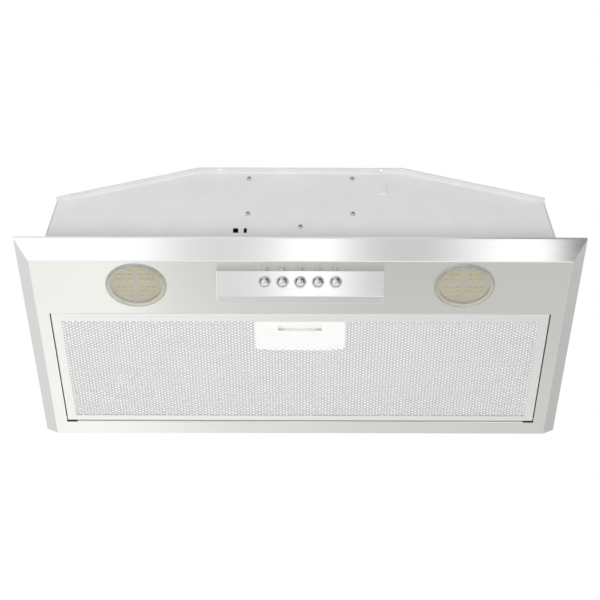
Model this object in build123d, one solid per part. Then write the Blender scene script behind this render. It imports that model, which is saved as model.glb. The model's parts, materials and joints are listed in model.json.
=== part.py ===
from build123d import *
import math
import os

# A built-in range hood. The origin is the middle of the flange that bears on the underside of the
# cabinet, +Z is up, the front faces -Y and +X is to the right. All sizes are millimetres.

# Bottom panel: a stainless tray with a bevelled rim
PANEL_WIDTH = 700.0
PANEL_DEPTH = 376.0
PANEL_SHEET = 1.0
RIM_LIP = 3.0
BEVEL_RUN = 18.0
BEVEL_DROP = 21.0
PANEL_BEND = 1.5
FLANGE_OVERHANG = 28.5
SIDE_OVERHANG = 26.1
CONTROL_ZONE = 114.0
REAR_STRIP = 42.0
OPENING_INSET = 7.9
OPENING_FLANGE = 8.0
OPENING_BEND = 1.0
CORNER_RELIEF = 14.0

# Housing: a bent wrap, closed by a front and a back plate
HOUSING_SHEET = 0.8
ROOF_HEIGHT = 154.0
ROOF_WIDTH = 263.0
SHOULDER_DROP = 55.0
SIDE_LEAN = 12.9
FOOT_WIDTH = 14.0
PLATE_SETBACK = 8.0
PLATE_FLANGE = 12.0
PLATE_BEND = 1.2
PLATE_COVE = 2.6
RIM_SHORTFALL = 12.0
PLATE_FOOT = 20.0
SHEET_GAP = 0.1
MARGIN_HOLE_SPACING = 209.0
MARGIN_HOLE_RADIUS = 2.75
SIDE_HOLE_SPACING = 200.0
SIDE_HOLE_HEIGHT = 10.0
SIDE_HOLE_RADIUS = 2.5
BOX_SCREW_SPACING = 133.0
BOX_SCREW_LOW = 77.0
BOX_SCREW_HIGH = 141.0
CLIP_SCREW_HEIGHT = 54.0
SLOT_HEIGHT = 8.5
SLOT_BOTTOM = 43.0
WIDE_SLOT_X = -81.2
WIDE_SLOT_WIDTH = 6.8
NARROW_SLOT_X = -69.1
NARROW_SLOT_WIDTH = 4.0
EMBOSS_X = 105.7
EMBOSS_HEIGHT = 120.0
EMBOSS_WIDTH = 10.3
EMBOSS_LENGTH = 15.7
EMBOSS_RISE = 1.8
EMBOSS_ROUND = 1.6

# How far a cut runs past the face that it opens
OVERCUT = 1.0

# Screws
SCREW_RADIUS = 2.0
SCREW_HEAD_RADIUS = 3.5
SCREW_HEAD = 2.2
SCREW_LENGTH = 10.0
SCREW_TIP = 1.0
SCREW_CLEARANCE = 0.2
SCREW_BITE = 0.02

# Outlet collar and its damper
COLLAR_RADIUS = 74.5
COLLAR_WALL = 2.0
COLLAR_HEIGHT = 46.0
COLLAR_FLANGE = 13.5
COLLAR_FLANGE_THICKNESS = 2.5
COLLAR_SCREWS = 4
COLLAR_SCREW_TURN = 45.0
LEDGE_WIDTH = 4.0
LEDGE_THICKNESS = 2.0
FLAP_THICKNESS = 1.2
FLAP_CLEARANCE = 1.0
FLAP_REST_GAP = 0.3
DAMPER_PIN_RADIUS = 2.0
KNUCKLE_WALL = 1.8
KNUCKLE_LENGTH = 26.0
KNUCKLE_GAP = 2.0
KNUCKLE_COUNT = 4

# Blower
BLOWER_FLANGE = 2.0
BLOWER_FLANGE_SIZE = 172.0
BLOWER_SHEET = 1.0
BLOWER_LIP = 3.0
BLOWER_WIDTH = 124.0
IMPELLER_RADIUS = 55.0
IMPELLER_WIDTH = 108.0
IMPELLER_RING = 2.0
BLADE_COUNT = 36
BLADE_DEPTH = 9.5
BLADE_SHEET = 1.0
BLADE_LEAN = 6.0
HUB_RADIUS = 11.0
HUB_LENGTH = 24.0
CUTOFF_GAP = 7.0
VOLUTE_STEP = 9.0
TONGUE_RISE = 3.0
THROAT_FRONT = 18.0
INLET_RADIUS = 46.0

# Motor
MOTOR_RADIUS = 36.0
MOTOR_LENGTH = 56.0
MOTOR_WALL = 1.5
MOTOR_CAP = 2.0
MOTOR_TO_HUB = 8.0
STATOR_LENGTH = 32.0
STATOR_BORE = 21.0
ROTOR_GAP = 0.4
SHAFT_RADIUS = 4.0
SHAFT_ROOM = 1.0
BEARING_RADIUS = 8.0
BEARING_LENGTH = 7.0
BEARING_SEAT = 2.0
RUNNING_CLEARANCE = 0.05
PRESS_CLEARANCE = 0.02
SPIDER_SHEET = 2.0
SPIDER_ARM = 14.0
GROMMET_CIRCLE = 54.0
GROMMET_RADIUS = 5.0
GROMMETS = 3
NUT_FLATS = 13.0
NUT_HEIGHT = 6.5

# Electrical box behind the front plate
BOX_DEPTH = 21.0
BOX_WALL = 1.2
BOX_MARGIN = 11.0
BOX_POST_RADIUS = 4.5
BOX_TO_BLOWER = 1.5
CAPACITOR_WIDTH = 40.0
CAPACITOR_HEIGHT = 24.0
CAPACITOR_DEPTH = 16.0
DRIVER_WIDTH = 78.0
DRIVER_HEIGHT = 20.0
DRIVER_DEPTH = 14.0
TERMINAL_WIDTH = 54.0
TERMINAL_HEIGHT = 18.0
TERMINAL_DEPTH = 12.0
TERMINAL_WAYS = 5
TERMINAL_BORE = 2.2
PART_SPACING = 6.0
LEAD_RADIUS = 3.0
LEAD_RISE = 30.0
LAMP_LEAD_RADIUS = 2.0
CLIP_WALL = 2.0
CLIP_WIDTH = 10.0
GLAND_X = 100.0
GLAND_SETBACK = 51.5
GLAND_BORE = 4.5
GLAND_THREAD = 8.0
GLAND_FLANGE = 12.0
GLAND_FLANGE_THICKNESS = 4.0
GLAND_DOME = 12.0
GLAND_TAIL = 9.0
GLAND_NUT_FLATS = 22.0
GLAND_NUT_HEIGHT = 5.0

# Control pod, its switch block and buttons
POD_SETBACK = 35.4
POD_WIDTH = 208.0
POD_FACE_RUN = 20.2
POD_DROP = 23.5
POD_FLOOR = 13.0
POD_REAR_RUN = 10.0
POD_END_TAPER = 6.0
POD_WALL = 1.2
POD_BEND = 1.6
POD_WINDOW_FRONT = 5.0
POD_WINDOW_DEPTH = 30.0
POD_SCREW_SPACING = 176.0
POD_BOSS_RADIUS = 4.0
POD_BOSS_HEIGHT = 9.0
BUTTON_NAMES = ("button_off", "button_low", "button_medium", "button_high", "button_lamp")
BUTTON_PITCH = 21.8
BUTTON_RADIUS = 5.4
BUTTON_DROP = 13.4
BUTTON_PROUD = 5.0
BUTTON_TRAVEL = 3.0
BUTTON_CROWN = 1.2
BUTTON_CLEARANCE = 0.2
BEZEL_RADIUS = 7.8
BEZEL_HEIGHT = 1.8
BEZEL_ROUND = 0.6
STEM_RADIUS = 3.5
STEM_HEAD_RADIUS = 4.3
STEM_HEAD = 1.6
BLOCK_FLANGE = 2.0
BLOCK_FLANGE_WIDTH = 128.0
BLOCK_FLANGE_HEIGHT = 16.0
BLOCK_WIDTH = 112.0
BLOCK_HEIGHT = 15.0
BLOCK_DEPTH = 18.0
BLOCK_SHOULDER = 10.0
STUD_RADIUS = 1.5
STUD_LENGTH = 4.0

# Lamps
LAMP_SPACING = 406.0
LAMP_SETBACK = 61.5
LAMP_RADIUS = 37.9
LAMP_BEZEL = 1.6
LAMP_BEZEL_ROUND = 0.5
LAMP_RIM = 1.1
LAMP_BORE = 31.6
LAMP_NECK_WALL = 1.2
LAMP_NECK = 3.0
LAMP_HOLE_GAP = 0.2
LENS_THICKNESS = 2.0
LENS_GAP = 0.2
LENS_RISE = 1.2
LENS_ROUND = 0.8
LAMP_CAN_WALL = 1.2
LAMP_CAN_HEIGHT = 19.0
LAMP_CAN_FLANGE = 3.6
BOARD_THICKNESS = 1.6
BOARD_HEIGHT = 2.4
CHIP_SIZE = 5.2
CHIP_HEIGHT = 0.8
CHIP_PITCH = 7.8
CHIP_CROSS = 7.2

# Grease filter
FILTER_SIDE_GAP = 1.6
FILTER_END_GAP = 0.6
FILTER_THICKNESS = 9.0
FILTER_SHEET = 0.8
FILTER_BEND = 1.4
SIDE_RAIL = 12.0
FRONT_RAIL = 14.0
REAR_RAIL = 12.7
PACK_GAP = 0.4
MESH_SHEET = 0.8
MESH_COLUMNS = 30
MESH_ROWS = 10
MESH_BAR = 4.0
HANDLE_WIDTH = 115.0
HANDLE_DEPTH = 53.5
HANDLE_CORNER = 6.0
FINGER_SLOT_WIDTH = 55.0
FINGER_SLOT_DEPTH = 10.0
FINGER_SLOT_SETBACK = 7.2
GUIDE_WALL = 2.0
GUIDE_WIDTH = 66.0
SLIDER_WIDTH = 56.0
SLIDER_THICKNESS = 3.0
SLIDER_GAP = 0.3
TONGUE_WIDTH = 48.0
TONGUE_LENGTH = 7.0
TONGUE_RECESS = 0.2
TONGUE_SLOT_GAP = 1.0
LATCH_TRAVEL = 5.0
FINGER_ROOM = 4.7
FINGER_LIP = 1.5
FINGER_LIP_WIDTH = 40.0
SPRING_RADIUS = 1.6
SPRING_WIRE = 0.5
SPRING_LENGTH = 18.0
PIVOT_RADIUS = 2.0
PIVOT_REACH = 5.5
PIVOT_PLUG = 22.0
HOOK_GAP = 3.0
HOOK_SHEET = 1.5
HOOK_HEIGHT = 9.0
HOOK_LENGTH = 13.0
HOOK_FOOT = 9.0

# Levels and edges that follow from the driving sizes
bottom_z = -(RIM_LIP + BEVEL_DROP)
panel_top = bottom_z + PANEL_SHEET
front_edge = -PANEL_DEPTH / 2
base_half = PANEL_WIDTH / 2 - SIDE_OVERHANG
wrap_half = PANEL_DEPTH / 2 - FLANGE_OVERHANG
foot_top = -PANEL_SHEET
foot_bottom = foot_top - HOUSING_SHEET
roof_under = ROOF_HEIGHT - HOUSING_SHEET
plate_y = -wrap_half + PLATE_SETBACK
plate_back = plate_y + HOUSING_SHEET
margin_y = wrap_half - PLATE_SETBACK / 2
gland_y = wrap_half - GLAND_SETBACK
opening_half = base_half - OPENING_INSET
opening_front = front_edge + CONTROL_ZONE
opening_rear = PANEL_DEPTH / 2 - REAR_STRIP
flange_half = opening_half - CORNER_RELIEF
box_screw_x = BOX_SCREW_SPACING / 2
shoulder_z = ROOF_HEIGHT - SHOULDER_DROP
shoulder_half = base_half - SIDE_LEAN

# The volute is three quarter arcs whose centres step round a small square about the blower axis
volute_radius = IMPELLER_RADIUS + CUTOFF_GAP + VOLUTE_STEP / 2
throat_rear = VOLUTE_STEP / 2 + volute_radius + 2 * VOLUTE_STEP
throat_top = roof_under - BLOWER_FLANGE
volute_front = volute_radius + VOLUTE_STEP / 2 + BLOWER_SHEET + BLOWER_LIP
axis_y = plate_back + BOX_DEPTH + BOX_TO_BLOWER + volute_front
axis_z = throat_top - TONGUE_RISE - IMPELLER_RADIUS - CUTOFF_GAP
outlet_y = axis_y + (THROAT_FRONT + throat_rear) / 2
blower_half = BLOWER_WIDTH / 2
side_outer = blower_half + BLOWER_SHEET

# Motor stations along the blower axis, on the left of the impeller hub
motor_front = -(HUB_LENGTH / 2 + MOTOR_TO_HUB)
motor_rear = motor_front - MOTOR_LENGTH
cap_rear = motor_rear - MOTOR_CAP
spider_rear = cap_rear - SPIDER_SHEET
nut_start = HUB_LENGTH / 2

# Collar levels
collar_bore = COLLAR_RADIUS - COLLAR_WALL
collar_top = ROOF_HEIGHT + COLLAR_HEIGHT
ledge_top = ROOF_HEIGHT + COLLAR_FLANGE_THICKNESS + LEDGE_THICKNESS
knuckle_radius = DAMPER_PIN_RADIUS + KNUCKLE_WALL
flap_bottom = ledge_top + FLAP_REST_GAP
damper_z = flap_bottom + knuckle_radius
collar_screw_circle = COLLAR_RADIUS + COLLAR_FLANGE / 2

# Pod face: origin at the middle button, local z points out of the face and local y up along it
pod_front = front_edge + POD_SETBACK
face_length = math.hypot(POD_FACE_RUN, POD_DROP)
face_down = (POD_FACE_RUN / face_length, -POD_DROP / face_length)
pod_face = Plane(
    origin=(0, pod_front + face_down[0] * BUTTON_DROP, bottom_z + face_down[1] * BUTTON_DROP),
    x_dir=(1, 0, 0),
    z_dir=(0, face_down[1], -face_down[0]),
)
pod_floor_z = bottom_z - POD_DROP
pod_rear = pod_front + POD_FACE_RUN + POD_FLOOR + POD_REAR_RUN
window_front = pod_front + POD_WINDOW_FRONT
window_rear = window_front + POD_WINDOW_DEPTH
window_half = BLOCK_FLANGE_WIDTH / 2 + BLOCK_FLANGE
pod_screw_y = (window_front + window_rear) / 2
block_front = -POD_WALL
block_body = block_front - BLOCK_FLANGE
block_back = block_body - BLOCK_DEPTH
cap_inner = BUTTON_CLEARANCE - POD_WALL
button_shoulder = block_body - BLOCK_SHOULDER

# Lamps
lamp_x = LAMP_SPACING / 2
lamp_y = front_edge + LAMP_SETBACK
neck_radius = LAMP_BORE + LAMP_NECK_WALL
lens_seat = LAMP_RADIUS - LAMP_RIM
lens_low = bottom_z - LAMP_BEZEL - LENS_RISE
lamp_hole = neck_radius + LAMP_HOLE_GAP
can_bore = neck_radius + LAMP_HOLE_GAP
can_radius = can_bore + LAMP_CAN_WALL

# Filter levels, from its lower face upwards
filter_half = opening_half - FILTER_SIDE_GAP
filter_front = opening_front + FILTER_END_GAP
filter_rear = opening_rear - PANEL_SHEET - FILTER_END_GAP
filter_top = bottom_z + FILTER_THICKNESS
mesh_low = bottom_z + FILTER_SHEET
core_low = mesh_low + MESH_SHEET
mesh_high = filter_top - FILTER_SHEET - MESH_SHEET
hinge_radius = FILTER_THICKNESS / 2
hinge_y = filter_rear - hinge_radius
hinge_z = bottom_z + hinge_radius
plug_radius = hinge_radius - FILTER_SHEET - PRESS_CLEARANCE
window_x = filter_half - SIDE_RAIL
window_y0 = filter_front + FRONT_RAIL
window_y1 = filter_rear - REAR_RAIL
pack_half = filter_half - FILTER_SHEET - PACK_GAP
pack_front = filter_front + FILTER_SHEET + PACK_GAP
pack_rear = hinge_y - plug_radius - PACK_GAP
handle_front = window_y0 + SHEET_GAP
handle_rear = handle_front + HANDLE_DEPTH
slot_front = handle_front + FINGER_SLOT_SETBACK
slot_rear = slot_front + FINGER_SLOT_DEPTH

# Latch stations, with the slider drawn back clear of the panel
guide_rear = handle_rear - GUIDE_WALL
slider_mid = (core_low + mesh_high) / 2
slider_low = slider_mid - SLIDER_THICKNESS / 2
slider_high = slider_mid + SLIDER_THICKNESS / 2
tongue_tip = filter_front + TONGUE_RECESS
slider_front = tongue_tip + TONGUE_LENGTH
slider_rear = guide_rear - GUIDE_WALL - SPRING_LENGTH
lip_front = slot_front + FINGER_ROOM + LATCH_TRAVEL


def bar(x0, x1, y0, y1, z0, z1):
    """A box between two corners."""
    return Pos((x0 + x1) / 2, (y0 + y1) / 2, (z0 + z1) / 2) * Box(x1 - x0, y1 - y0, z1 - z0)


def along_x(radius, x0, x1, y, z):
    return Pos((x0 + x1) / 2, y, z) * Rot(0, 90, 0) * Cylinder(radius, x1 - x0)


def along_y(radius, y0, y1, x, z):
    return Pos(x, (y0 + y1) / 2, z) * Rot(90, 0, 0) * Cylinder(radius, y1 - y0)


def along_z(radius, z0, z1, x, y):
    return Pos(x, y, (z0 + z1) / 2) * Cylinder(radius, z1 - z0)


def group(shapes):
    """Separate solids kept together in one node."""
    return Part() + list(shapes)


def both_sides(shape):
    return group([shape, mirror(shape, about=Plane.YZ)])


def screw(place, length):
    """A pan-head screw, its head standing on the local XY plane and its shank below it."""
    head = Pos(0, 0, SCREW_HEAD / 2) * Cylinder(SCREW_HEAD_RADIUS, SCREW_HEAD)
    head = fillet(head.edges().group_by(Axis.Z)[-1], SCREW_HEAD / 2)
    shank = Pos(0, 0, -length / 2) * Cylinder(SCREW_RADIUS, length)
    return place * (head + shank)


# Bottom panel
def tray_block(sheet):
    """The tray's outside as a solid, or with a sheet thickness the hollow inside it."""
    shift = sheet * math.hypot(BEVEL_RUN, BEVEL_DROP) / BEVEL_DROP
    upper_z = -RIM_LIP + (shift - sheet) * BEVEL_DROP / BEVEL_RUN
    low_inset = BEVEL_RUN * (BEVEL_DROP - sheet) / BEVEL_DROP + shift

    def outline(inset, z):
        return Pos(0, 0, z) * Rectangle(PANEL_WIDTH - 2 * inset, PANEL_DEPTH - 2 * inset)

    bevel = loft([outline(low_inset, bottom_z + sheet), outline(sheet, upper_z)])
    lip = extrude(outline(sheet, upper_z), -sheet - upper_z)
    return bevel + lip


def bend_cut(y, side):
    """What a bend takes off the sharp lower corner of an opening flange that lies on one side of y."""
    centre_y = y + side * OPENING_BEND
    centre_z = bottom_z + OPENING_BEND
    near, far = sorted((y - side * OVERCUT, centre_y))
    corner = bar(-flange_half, flange_half, near, far, bottom_z - OVERCUT, centre_z)
    return corner - along_x(OPENING_BEND, -PANEL_WIDTH, PANEL_WIDTH, centre_y, centre_z)


def bottom_panel():
    outside = tray_block(0)
    outside = fillet(outside.edges().group_by(Axis.Z)[0], PANEL_BEND)
    panel = outside - tray_block(PANEL_SHEET)
    reach = PANEL_SHEET
    panel -= bar(
        -base_half - SHEET_GAP * 3, base_half + SHEET_GAP * 3,
        -wrap_half - SHEET_GAP * 3, wrap_half + SHEET_GAP * 3, -PANEL_SHEET - reach, reach,
    )
    low, high = bottom_z - reach, panel_top + reach
    panel -= bar(-opening_half, opening_half, opening_front, opening_rear, low, high)
    flange_z = bottom_z + OPENING_FLANGE
    panel += bar(-flange_half, flange_half, opening_front - PANEL_SHEET, opening_front, bottom_z, flange_z)
    panel += bar(-flange_half, flange_half, opening_rear - PANEL_SHEET, opening_rear, bottom_z, flange_z)
    panel -= bend_cut(opening_front, -1)
    panel -= bend_cut(opening_rear - PANEL_SHEET, 1)
    tongue_slot = TONGUE_WIDTH / 2 + TONGUE_SLOT_GAP
    panel -= bar(
        -tongue_slot, tongue_slot, opening_front - 2 * PANEL_SHEET, opening_front + PANEL_SHEET,
        slider_low - TONGUE_SLOT_GAP, slider_high + TONGUE_SLOT_GAP,
    )
    panel -= bar(-window_half, window_half, window_front, window_rear, low, high)
    for side in (-1, 1):
        panel -= along_z(lamp_hole, low, high, side * lamp_x, lamp_y)
        screw_x = side * POD_SCREW_SPACING / 2
        panel -= along_z(SCREW_RADIUS + SCREW_CLEARANCE, low, high, screw_x, pod_screw_y)
    return panel


# Housing
def housing_block(inset, y0, y1):
    """The housing's cross-section, drawn in by an inset, between two stations along Y."""
    lean = SIDE_LEAN / shoulder_z
    deep_z = foot_bottom - FOOT_WIDTH
    deep_half = base_half - lean * deep_z
    right = [(deep_half, deep_z), (shoulder_half, shoulder_z), (ROOF_WIDTH / 2, ROOF_HEIGHT)]
    left = [(-x, z) for x, z in reversed(right)]
    outline = make_face(Polyline(*right, *left, close=True))
    if inset:
        outline = offset(outline, -inset, kind=Kind.INTERSECTION)
    block = extrude(Plane.XZ * outline, y1 - y0, dir=(0, 1, 0))
    block = Pos(0, y0, 0) * block
    reach = PANEL_WIDTH
    return block - bar(-reach, reach, y0 - reach, y1 + reach, deep_z - reach, foot_bottom)


def roof_hole(radius, x, y):
    return along_z(radius, roof_under - PLATE_COVE - HOUSING_SHEET - OVERCUT, ROOF_HEIGHT + OVERCUT, x, y)


def housing_wrap():
    wrap = housing_block(0, -wrap_half, wrap_half)
    wrap -= housing_block(HOUSING_SHEET, -wrap_half - HOUSING_SHEET, wrap_half + HOUSING_SHEET)
    foot_near, foot_far = base_half - HOUSING_SHEET / 2, base_half + FOOT_WIDTH
    cut_near, cut_front = shoulder_half - FOOT_WIDTH, -wrap_half - OVERCUT
    side_cuts = both_sides(bar(cut_near, foot_far, cut_front, plate_y, foot_bottom, shoulder_z))
    wrap -= side_cuts + mirror(side_cuts, about=Plane.XZ)
    wrap += both_sides(bar(foot_near, foot_far, -wrap_half, wrap_half, foot_bottom, foot_top))
    wrap -= roof_hole(collar_bore, 0, outlet_y)
    wrap -= roof_hole(GLAND_THREAD + SCREW_CLEARANCE, GLAND_X, gland_y)
    for x, y in collar_screw_places():
        wrap -= roof_hole(SCREW_RADIUS + SCREW_CLEARANCE, x, y)
    for side in (-1, 1):
        for end in (-1, 1):
            x = side * MARGIN_HOLE_SPACING / 2
            wrap -= roof_hole(MARGIN_HOLE_RADIUS, x, end * margin_y)
            y = end * SIDE_HOLE_SPACING / 2
            far = side * (base_half + SIDE_LEAN)
            near = side * (base_half - 2 * SIDE_LEAN)
            wrap -= along_x(SIDE_HOLE_RADIUS, min(near, far), max(near, far), y, SIDE_HOLE_HEIGHT)
    return wrap


def plate_rim(edge):
    """The flange that is bent forwards from a closing plate, under the roof and the shoulders."""
    rim = housing_block(edge, -wrap_half, plate_back)
    rim -= housing_block(edge + HOUSING_SHEET, -wrap_half - OVERCUT, plate_back + OVERCUT)
    half = shoulder_half - RIM_SHORTFALL
    rim &= bar(-half, half, -wrap_half, plate_back, foot_top, ROOF_HEIGHT)
    return rim


def closing_plate():
    """The plate that closes one end of the wrap, drawn as the front one."""
    edge = HOUSING_SHEET + SHEET_GAP
    plate = housing_block(edge, plate_y, plate_y + PLATE_FLANGE)
    bends = plate.edges().filter_by(lambda e: e.center().Y < plate_y + SHEET_GAP)
    bends = bends.filter_by(lambda e: foot_bottom + PLATE_BEND < e.center().Z < shoulder_z - PLATE_BEND)
    plate = fillet(bends, PLATE_BEND)
    plate -= housing_block(edge + HOUSING_SHEET, plate_back, plate_y + 2 * PLATE_FLANGE)
    rear = plate_y + 2 * PLATE_FLANGE
    plate -= bar(-base_half, base_half, plate_back, rear, shoulder_z - RIM_SHORTFALL, ROOF_HEIGHT)
    plate += plate_rim(edge)
    coves = plate.edges().filter_by(lambda e: abs(e.center().Y - plate_y) < SHEET_GAP)
    coves = coves.filter_by(lambda e: e.length > 2 * RIM_SHORTFALL and e.center().Z > shoulder_z)
    plate = fillet(coves, PLATE_COVE)
    foot_half = base_half - edge - SHEET_GAP
    plate += bar(-foot_half, foot_half, plate_y - PLATE_FOOT, plate_back, foot_bottom, foot_top)
    for side in (-1, 1):
        plate -= roof_hole(MARGIN_HOLE_RADIUS, side * MARGIN_HOLE_SPACING / 2, -margin_y)
    return plate


def front_screw_places():
    places = [(side * box_screw_x, z) for side in (-1, 1) for z in (BOX_SCREW_LOW, BOX_SCREW_HIGH)]
    return places + [(0, CLIP_SCREW_HEIGHT)]


def emboss_block(inset):
    """The outside of the small mark pressed into the front plate, or with an inset the hollow behind it."""
    half, reach = EMBOSS_WIDTH / 2 - inset, EMBOSS_LENGTH / 2 - inset
    return bar(
        EMBOSS_X - half, EMBOSS_X + half, plate_y - EMBOSS_RISE + inset, plate_back + inset,
        EMBOSS_HEIGHT - reach, EMBOSS_HEIGHT + reach,
    )


def front_plate():
    plate = closing_plate()
    near, far = plate_y - OVERCUT, plate_back + OVERCUT
    for x, z in front_screw_places():
        plate -= along_y(SCREW_RADIUS + SCREW_CLEARANCE, near, far, x, z)
    for x, width in ((WIDE_SLOT_X, WIDE_SLOT_WIDTH), (NARROW_SLOT_X, NARROW_SLOT_WIDTH)):
        plate -= bar(x - width / 2, x + width / 2, near, far, SLOT_BOTTOM, SLOT_BOTTOM + SLOT_HEIGHT)
    mark = emboss_block(0)
    plate += fillet(mark.faces().sort_by(Axis.Y)[0].edges(), EMBOSS_ROUND)
    return plate - emboss_block(HOUSING_SHEET)


def back_plate():
    return mirror(closing_plate(), about=Plane.XZ)


# Outlet collar and damper
def collar_screw_places():
    spots = PolarLocations(collar_screw_circle, COLLAR_SCREWS, start_angle=COLLAR_SCREW_TURN)
    return [(spot.position.X, spot.position.Y + outlet_y) for spot in spots]


def outlet_collar():
    flange_top = ROOF_HEIGHT + COLLAR_FLANGE_THICKNESS
    collar = along_z(COLLAR_RADIUS, ROOF_HEIGHT, collar_top, 0, outlet_y)
    collar += along_z(COLLAR_RADIUS + COLLAR_FLANGE, ROOF_HEIGHT, flange_top, 0, outlet_y)
    collar -= along_z(collar_bore, ledge_top, collar_top + OVERCUT, 0, outlet_y)
    collar -= along_z(collar_bore - LEDGE_WIDTH, ROOF_HEIGHT - OVERCUT, collar_top, 0, outlet_y)
    pin_hole = DAMPER_PIN_RADIUS + PRESS_CLEARANCE
    collar -= along_x(pin_hole, -2 * COLLAR_RADIUS, 2 * COLLAR_RADIUS, outlet_y, damper_z)
    for x, y in collar_screw_places():
        collar -= along_z(SCREW_RADIUS + SCREW_CLEARANCE, ROOF_HEIGHT - OVERCUT, flange_top + OVERCUT, x, y)
    return collar


def damper_pin():
    return along_x(DAMPER_PIN_RADIUS, -COLLAR_RADIUS, COLLAR_RADIUS, outlet_y, damper_z)


def damper_flap(first):
    """The front flap, with its two knuckles on every other place along the pin, from the given one."""
    pitch = KNUCKLE_LENGTH + KNUCKLE_GAP
    middle = KNUCKLE_COUNT / 2
    starts = [(place - middle) * pitch + KNUCKLE_GAP / 2 for place in range(KNUCKLE_COUNT)]
    own = starts[first::2]
    others = starts[1 - first::2]
    radius = collar_bore - FLAP_CLEARANCE
    flap = Pos(0, outlet_y, flap_bottom + FLAP_THICKNESS / 2) * Cylinder(radius, FLAP_THICKNESS)
    reach = 2 * COLLAR_RADIUS
    top = damper_z + reach
    flap -= bar(-reach, reach, outlet_y - KNUCKLE_GAP, outlet_y + reach, flap_bottom - OVERCUT, top)
    for start in others:
        flap -= bar(
            start - KNUCKLE_GAP, start + KNUCKLE_LENGTH + KNUCKLE_GAP,
            outlet_y - knuckle_radius - FLAP_CLEARANCE, outlet_y + reach, flap_bottom - OVERCUT, top,
        )
    for start in own:
        flap += along_x(knuckle_radius, start, start + KNUCKLE_LENGTH, outlet_y, damper_z)
    bore = DAMPER_PIN_RADIUS + RUNNING_CLEARANCE
    return flap - along_x(bore, -reach, reach, outlet_y, damper_z)


def damper_flap_rear():
    return Pos(0, 2 * outlet_y, 0) * mirror(damper_flap(1), about=Plane.XZ)


# Blower
def volute_block(grow, x0, x1):
    """The inside of the scroll and its throat, grown outwards, between two stations along X."""
    half = VOLUTE_STEP / 2
    radii = [volute_radius + grow + step * VOLUTE_STEP for step in range(3)]
    centres = [(-half, -half), (half, -half), (half, half)]
    turns = [90, 180, 270]
    arcs = [CenterArc(c, r, start, 90) for c, r, start in zip(centres, radii, turns)]
    top = throat_top - axis_z + BLOWER_SHEET + BLOWER_LIP
    tongue = (THROAT_FRONT - grow, arcs[0].position_at(0).Y)
    front_top = (THROAT_FRONT - grow, top)
    rear_top = (throat_rear + grow, top)
    walls = Polyline(arcs[2].position_at(1), rear_top, front_top, tongue, arcs[0].position_at(0))
    outline = make_face([*arcs, *walls.edges()])
    block = Pos(x0, axis_y, axis_z) * extrude(Plane.YZ * outline, x1 - x0)
    reach = 2 * throat_rear
    return block - bar(x0, x1, axis_y - reach, axis_y + reach, throat_top, throat_top + reach)


def blower_band():
    band = volute_block(BLOWER_SHEET, -blower_half, blower_half)
    return band - volute_block(0, -side_outer, side_outer) - throat_cut()


def throat_cut():
    """The open top of the throat, cut through everything up to the roof."""
    return bar(
        -blower_half, blower_half, axis_y + THROAT_FRONT, axis_y + throat_rear,
        throat_top - TONGUE_RISE, roof_under + OVERCUT,
    )


def blower_side(x0):
    side = volute_block(BLOWER_SHEET + BLOWER_LIP, x0, x0 + BLOWER_SHEET)
    side -= along_x(INLET_RADIUS, x0 - OVERCUT, x0 + BLOWER_SHEET + OVERCUT, axis_y, axis_z)
    return side


def blower_side_left():
    side = blower_side(-side_outer)
    for y, z in grommet_places():
        side -= along_x(SCREW_RADIUS + SCREW_CLEARANCE, -side_outer - OVERCUT, OVERCUT - blower_half, y, z)
    return side


def blower_flange():
    half = BLOWER_FLANGE_SIZE / 2
    plate = bar(-half, half, outlet_y - half, outlet_y + half, throat_top, roof_under) - throat_cut()
    for x, y in collar_screw_places():
        plate -= along_z(SCREW_RADIUS + SCREW_BITE, throat_top - OVERCUT, roof_under + OVERCUT, x, y)
    return plate


def impeller():
    inner = IMPELLER_RADIUS - BLADE_DEPTH
    middle = IMPELLER_RADIUS - BLADE_DEPTH / 2
    half = IMPELLER_WIDTH / 2
    lean = math.radians(BLADE_LEAN)
    tip = (IMPELLER_RADIUS - BLADE_SHEET) * Vector(math.cos(lean), math.sin(lean))
    arc = ThreePointArc((inner + BLADE_SHEET, 0), (middle, BLADE_SHEET), tip)
    blade = extrude(Plane.YZ * trace(arc, BLADE_SHEET), half, both=True)
    wheel = Rot(0, 90, 0) * Cylinder(IMPELLER_RADIUS, IMPELLER_RING)
    wheel += Rot(0, 90, 0) * Cylinder(HUB_RADIUS, HUB_LENGTH)
    ring = Rot(0, 90, 0) * (Cylinder(IMPELLER_RADIUS, IMPELLER_RING) - Cylinder(inner, IMPELLER_RING))
    station = half - IMPELLER_RING / 2
    pieces = [Pos(-station, 0, 0) * ring, Pos(station, 0, 0) * ring]
    pieces += [Rot(place * 360 / BLADE_COUNT, 0, 0) * blade for place in range(BLADE_COUNT)]
    wheel += pieces
    wheel -= Rot(0, 90, 0) * Cylinder(SHAFT_RADIUS + PRESS_CLEARANCE, 2 * HUB_LENGTH)
    return Pos(0, axis_y, axis_z) * wheel


# Motor
def axis_ring(outer, inner, x0, x1):
    bore = along_x(inner, x0 - OVERCUT, x1 + OVERCUT, axis_y, axis_z)
    return along_x(outer, x0, x1, axis_y, axis_z) - bore


def grommet_places():
    spots = PolarLocations(GROMMET_CIRCLE, GROMMETS, start_angle=90)
    return [(axis_y + spot.position.X, axis_z + spot.position.Y) for spot in spots]


def motor_can():
    inner = MOTOR_RADIUS - MOTOR_WALL
    face = motor_front - MOTOR_WALL
    can = axis_ring(MOTOR_RADIUS, inner, motor_rear, motor_front)
    can += axis_ring(MOTOR_RADIUS, SHAFT_RADIUS + SHAFT_ROOM, face, motor_front)
    return can + axis_ring(BEARING_RADIUS + BEARING_SEAT, BEARING_RADIUS, face - BEARING_LENGTH, face)


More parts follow.
